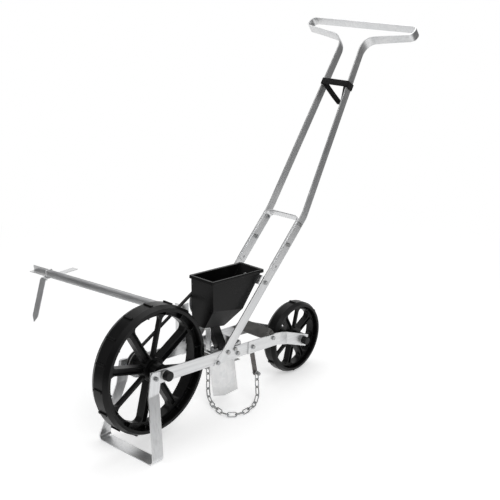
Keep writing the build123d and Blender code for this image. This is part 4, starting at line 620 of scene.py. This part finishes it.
def studio_floor():
    """Pale floor that fades to white away from the object and keeps its shadow."""
    bpy.ops.object.select_all(action="DESELECT")
    bpy.ops.mesh.primitive_circle_add(
        vertices=96, radius=FLOOR_RADIUS, fill_type="NGON", location=(0, 0, -FLOOR_SINK),
    )
    floor = bpy.context.object
    floor.name = "studio_floor"
    material = bpy.data.materials.new("pale_floor")
    material.use_nodes = True
    tree = material.node_tree
    tree.nodes.remove(tree.nodes["Principled BSDF"])
    matt = add(tree, "ShaderNodeBsdfDiffuse", {"Color": FLOOR_TONE})
    lift = add(tree, "ShaderNodeEmission", {"Color": WHITE})
    tree.links.new(calculate(tree, "MULTIPLY", seen_straight(tree), FLOOR_LIFT), lift.inputs["Strength"])
    near = add(tree, "ShaderNodeAddShader")
    tree.links.new(matt.outputs["BSDF"], near.inputs[0])
    tree.links.new(lift.outputs["Emission"], near.inputs[1])
    white = add(tree, "ShaderNodeEmission", {"Color": WHITE, "Strength": 1.0})
    coords = add(tree, "ShaderNodeTexCoord")
    reach = add(tree, "ShaderNodeVectorMath", operation="DISTANCE")
    reach.inputs[1].default_value = FLOOR_MIDDLE
    tree.links.new(coords.outputs["Object"], reach.inputs[0])
    far = spread(tree, reach.outputs["Value"], 0.0, 1.0, FADE_START, FADE_END)
    mix = add(tree, "ShaderNodeMixShader")
    tree.links.new(calculate(tree, "MULTIPLY", far, seen_straight(tree)), mix.inputs["Fac"])
    tree.links.new(near.outputs["Shader"], mix.inputs[1])
    tree.links.new(white.outputs["Emission"], mix.inputs[2])
    tree.links.new(mix.outputs["Shader"], tree.nodes["Material Output"].inputs["Surface"])
    floor.data.materials.append(material)


def studio_flag(name, facing, reach):
    """Tall grey screen out of view, there only for what the bright metal mirrors."""
    turn = math.atan2(facing[1], facing[0])
    middle = Vector(facing) * reach + Vector((0, 0, FLAG_FOOT + FLAG_HEIGHT / 2))
    bpy.ops.object.select_all(action="DESELECT")
    bpy.ops.mesh.primitive_plane_add(size=1, location=middle, rotation=(0, math.pi / 2, turn))
    flag = bpy.context.object
    flag.name = name
    flag.scale = (FLAG_HEIGHT, FLAG_LENGTH, 1)
    material = bpy.data.materials.new(name)
    material.use_nodes = True
    tree = material.node_tree
    tree.nodes.remove(tree.nodes["Principled BSDF"])
    cloth = add(tree, "ShaderNodeEmission", {"Color": WHITE, "Strength": FLAG_TONE})
    tree.links.new(cloth.outputs["Emission"], tree.nodes["Material Output"].inputs["Surface"])
    flag.data.materials.append(material)
    flag.visible_camera = False
    flag.visible_diffuse = False
    flag.visible_shadow = False


def studio_world():
    """White room that lights the object softly."""
    world = bpy.data.worlds.new("white_room")
    world.use_nodes = True
    scene.world = world
    tree = world.node_tree
    room = tree.nodes["Background"]
    room.inputs["Color"].default_value = WHITE
    tree.links.new(spread(tree, seen_straight(tree), ROOM_LIGHT, 1.0, 0.0, 1.0), room.inputs["Strength"])


def studio_lamp(name, place, size, power):
    """Large soft lamp aimed at the object."""
    lamp = bpy.data.lights.new(name, "AREA")
    lamp.shape = "DISK"
    lamp.size = size
    lamp.energy = power
    stand = bpy.data.objects.new(name, lamp)
    scene.collection.objects.link(stand)
    stand.location = place
    stand.rotation_mode = "QUATERNION"
    stand.rotation_quaternion = (AIM - Vector(place)).to_track_quat("-Z", "Y")


studio_floor()
studio_world()
studio_flag("right_flag", RIGHT_FACING, RIGHT_REACH)
studio_flag("left_flag", LEFT_FACING, LEFT_REACH)
for name, place, size, power in LAMPS:
    studio_lamp(name, place, size, power)

camera_data = bpy.data.cameras.new("camera")
camera_data.sensor_width = SENSOR
camera_data.lens = LENS
camera = bpy.data.objects.new("camera", camera_data)
scene.collection.objects.link(camera)
camera.location = EYE
camera.rotation_mode = "QUATERNION"
camera.rotation_quaternion = (AIM - EYE).to_track_quat("-Z", "Y")
scene.camera = camera
scene.view_settings.view_transform = "Standard"
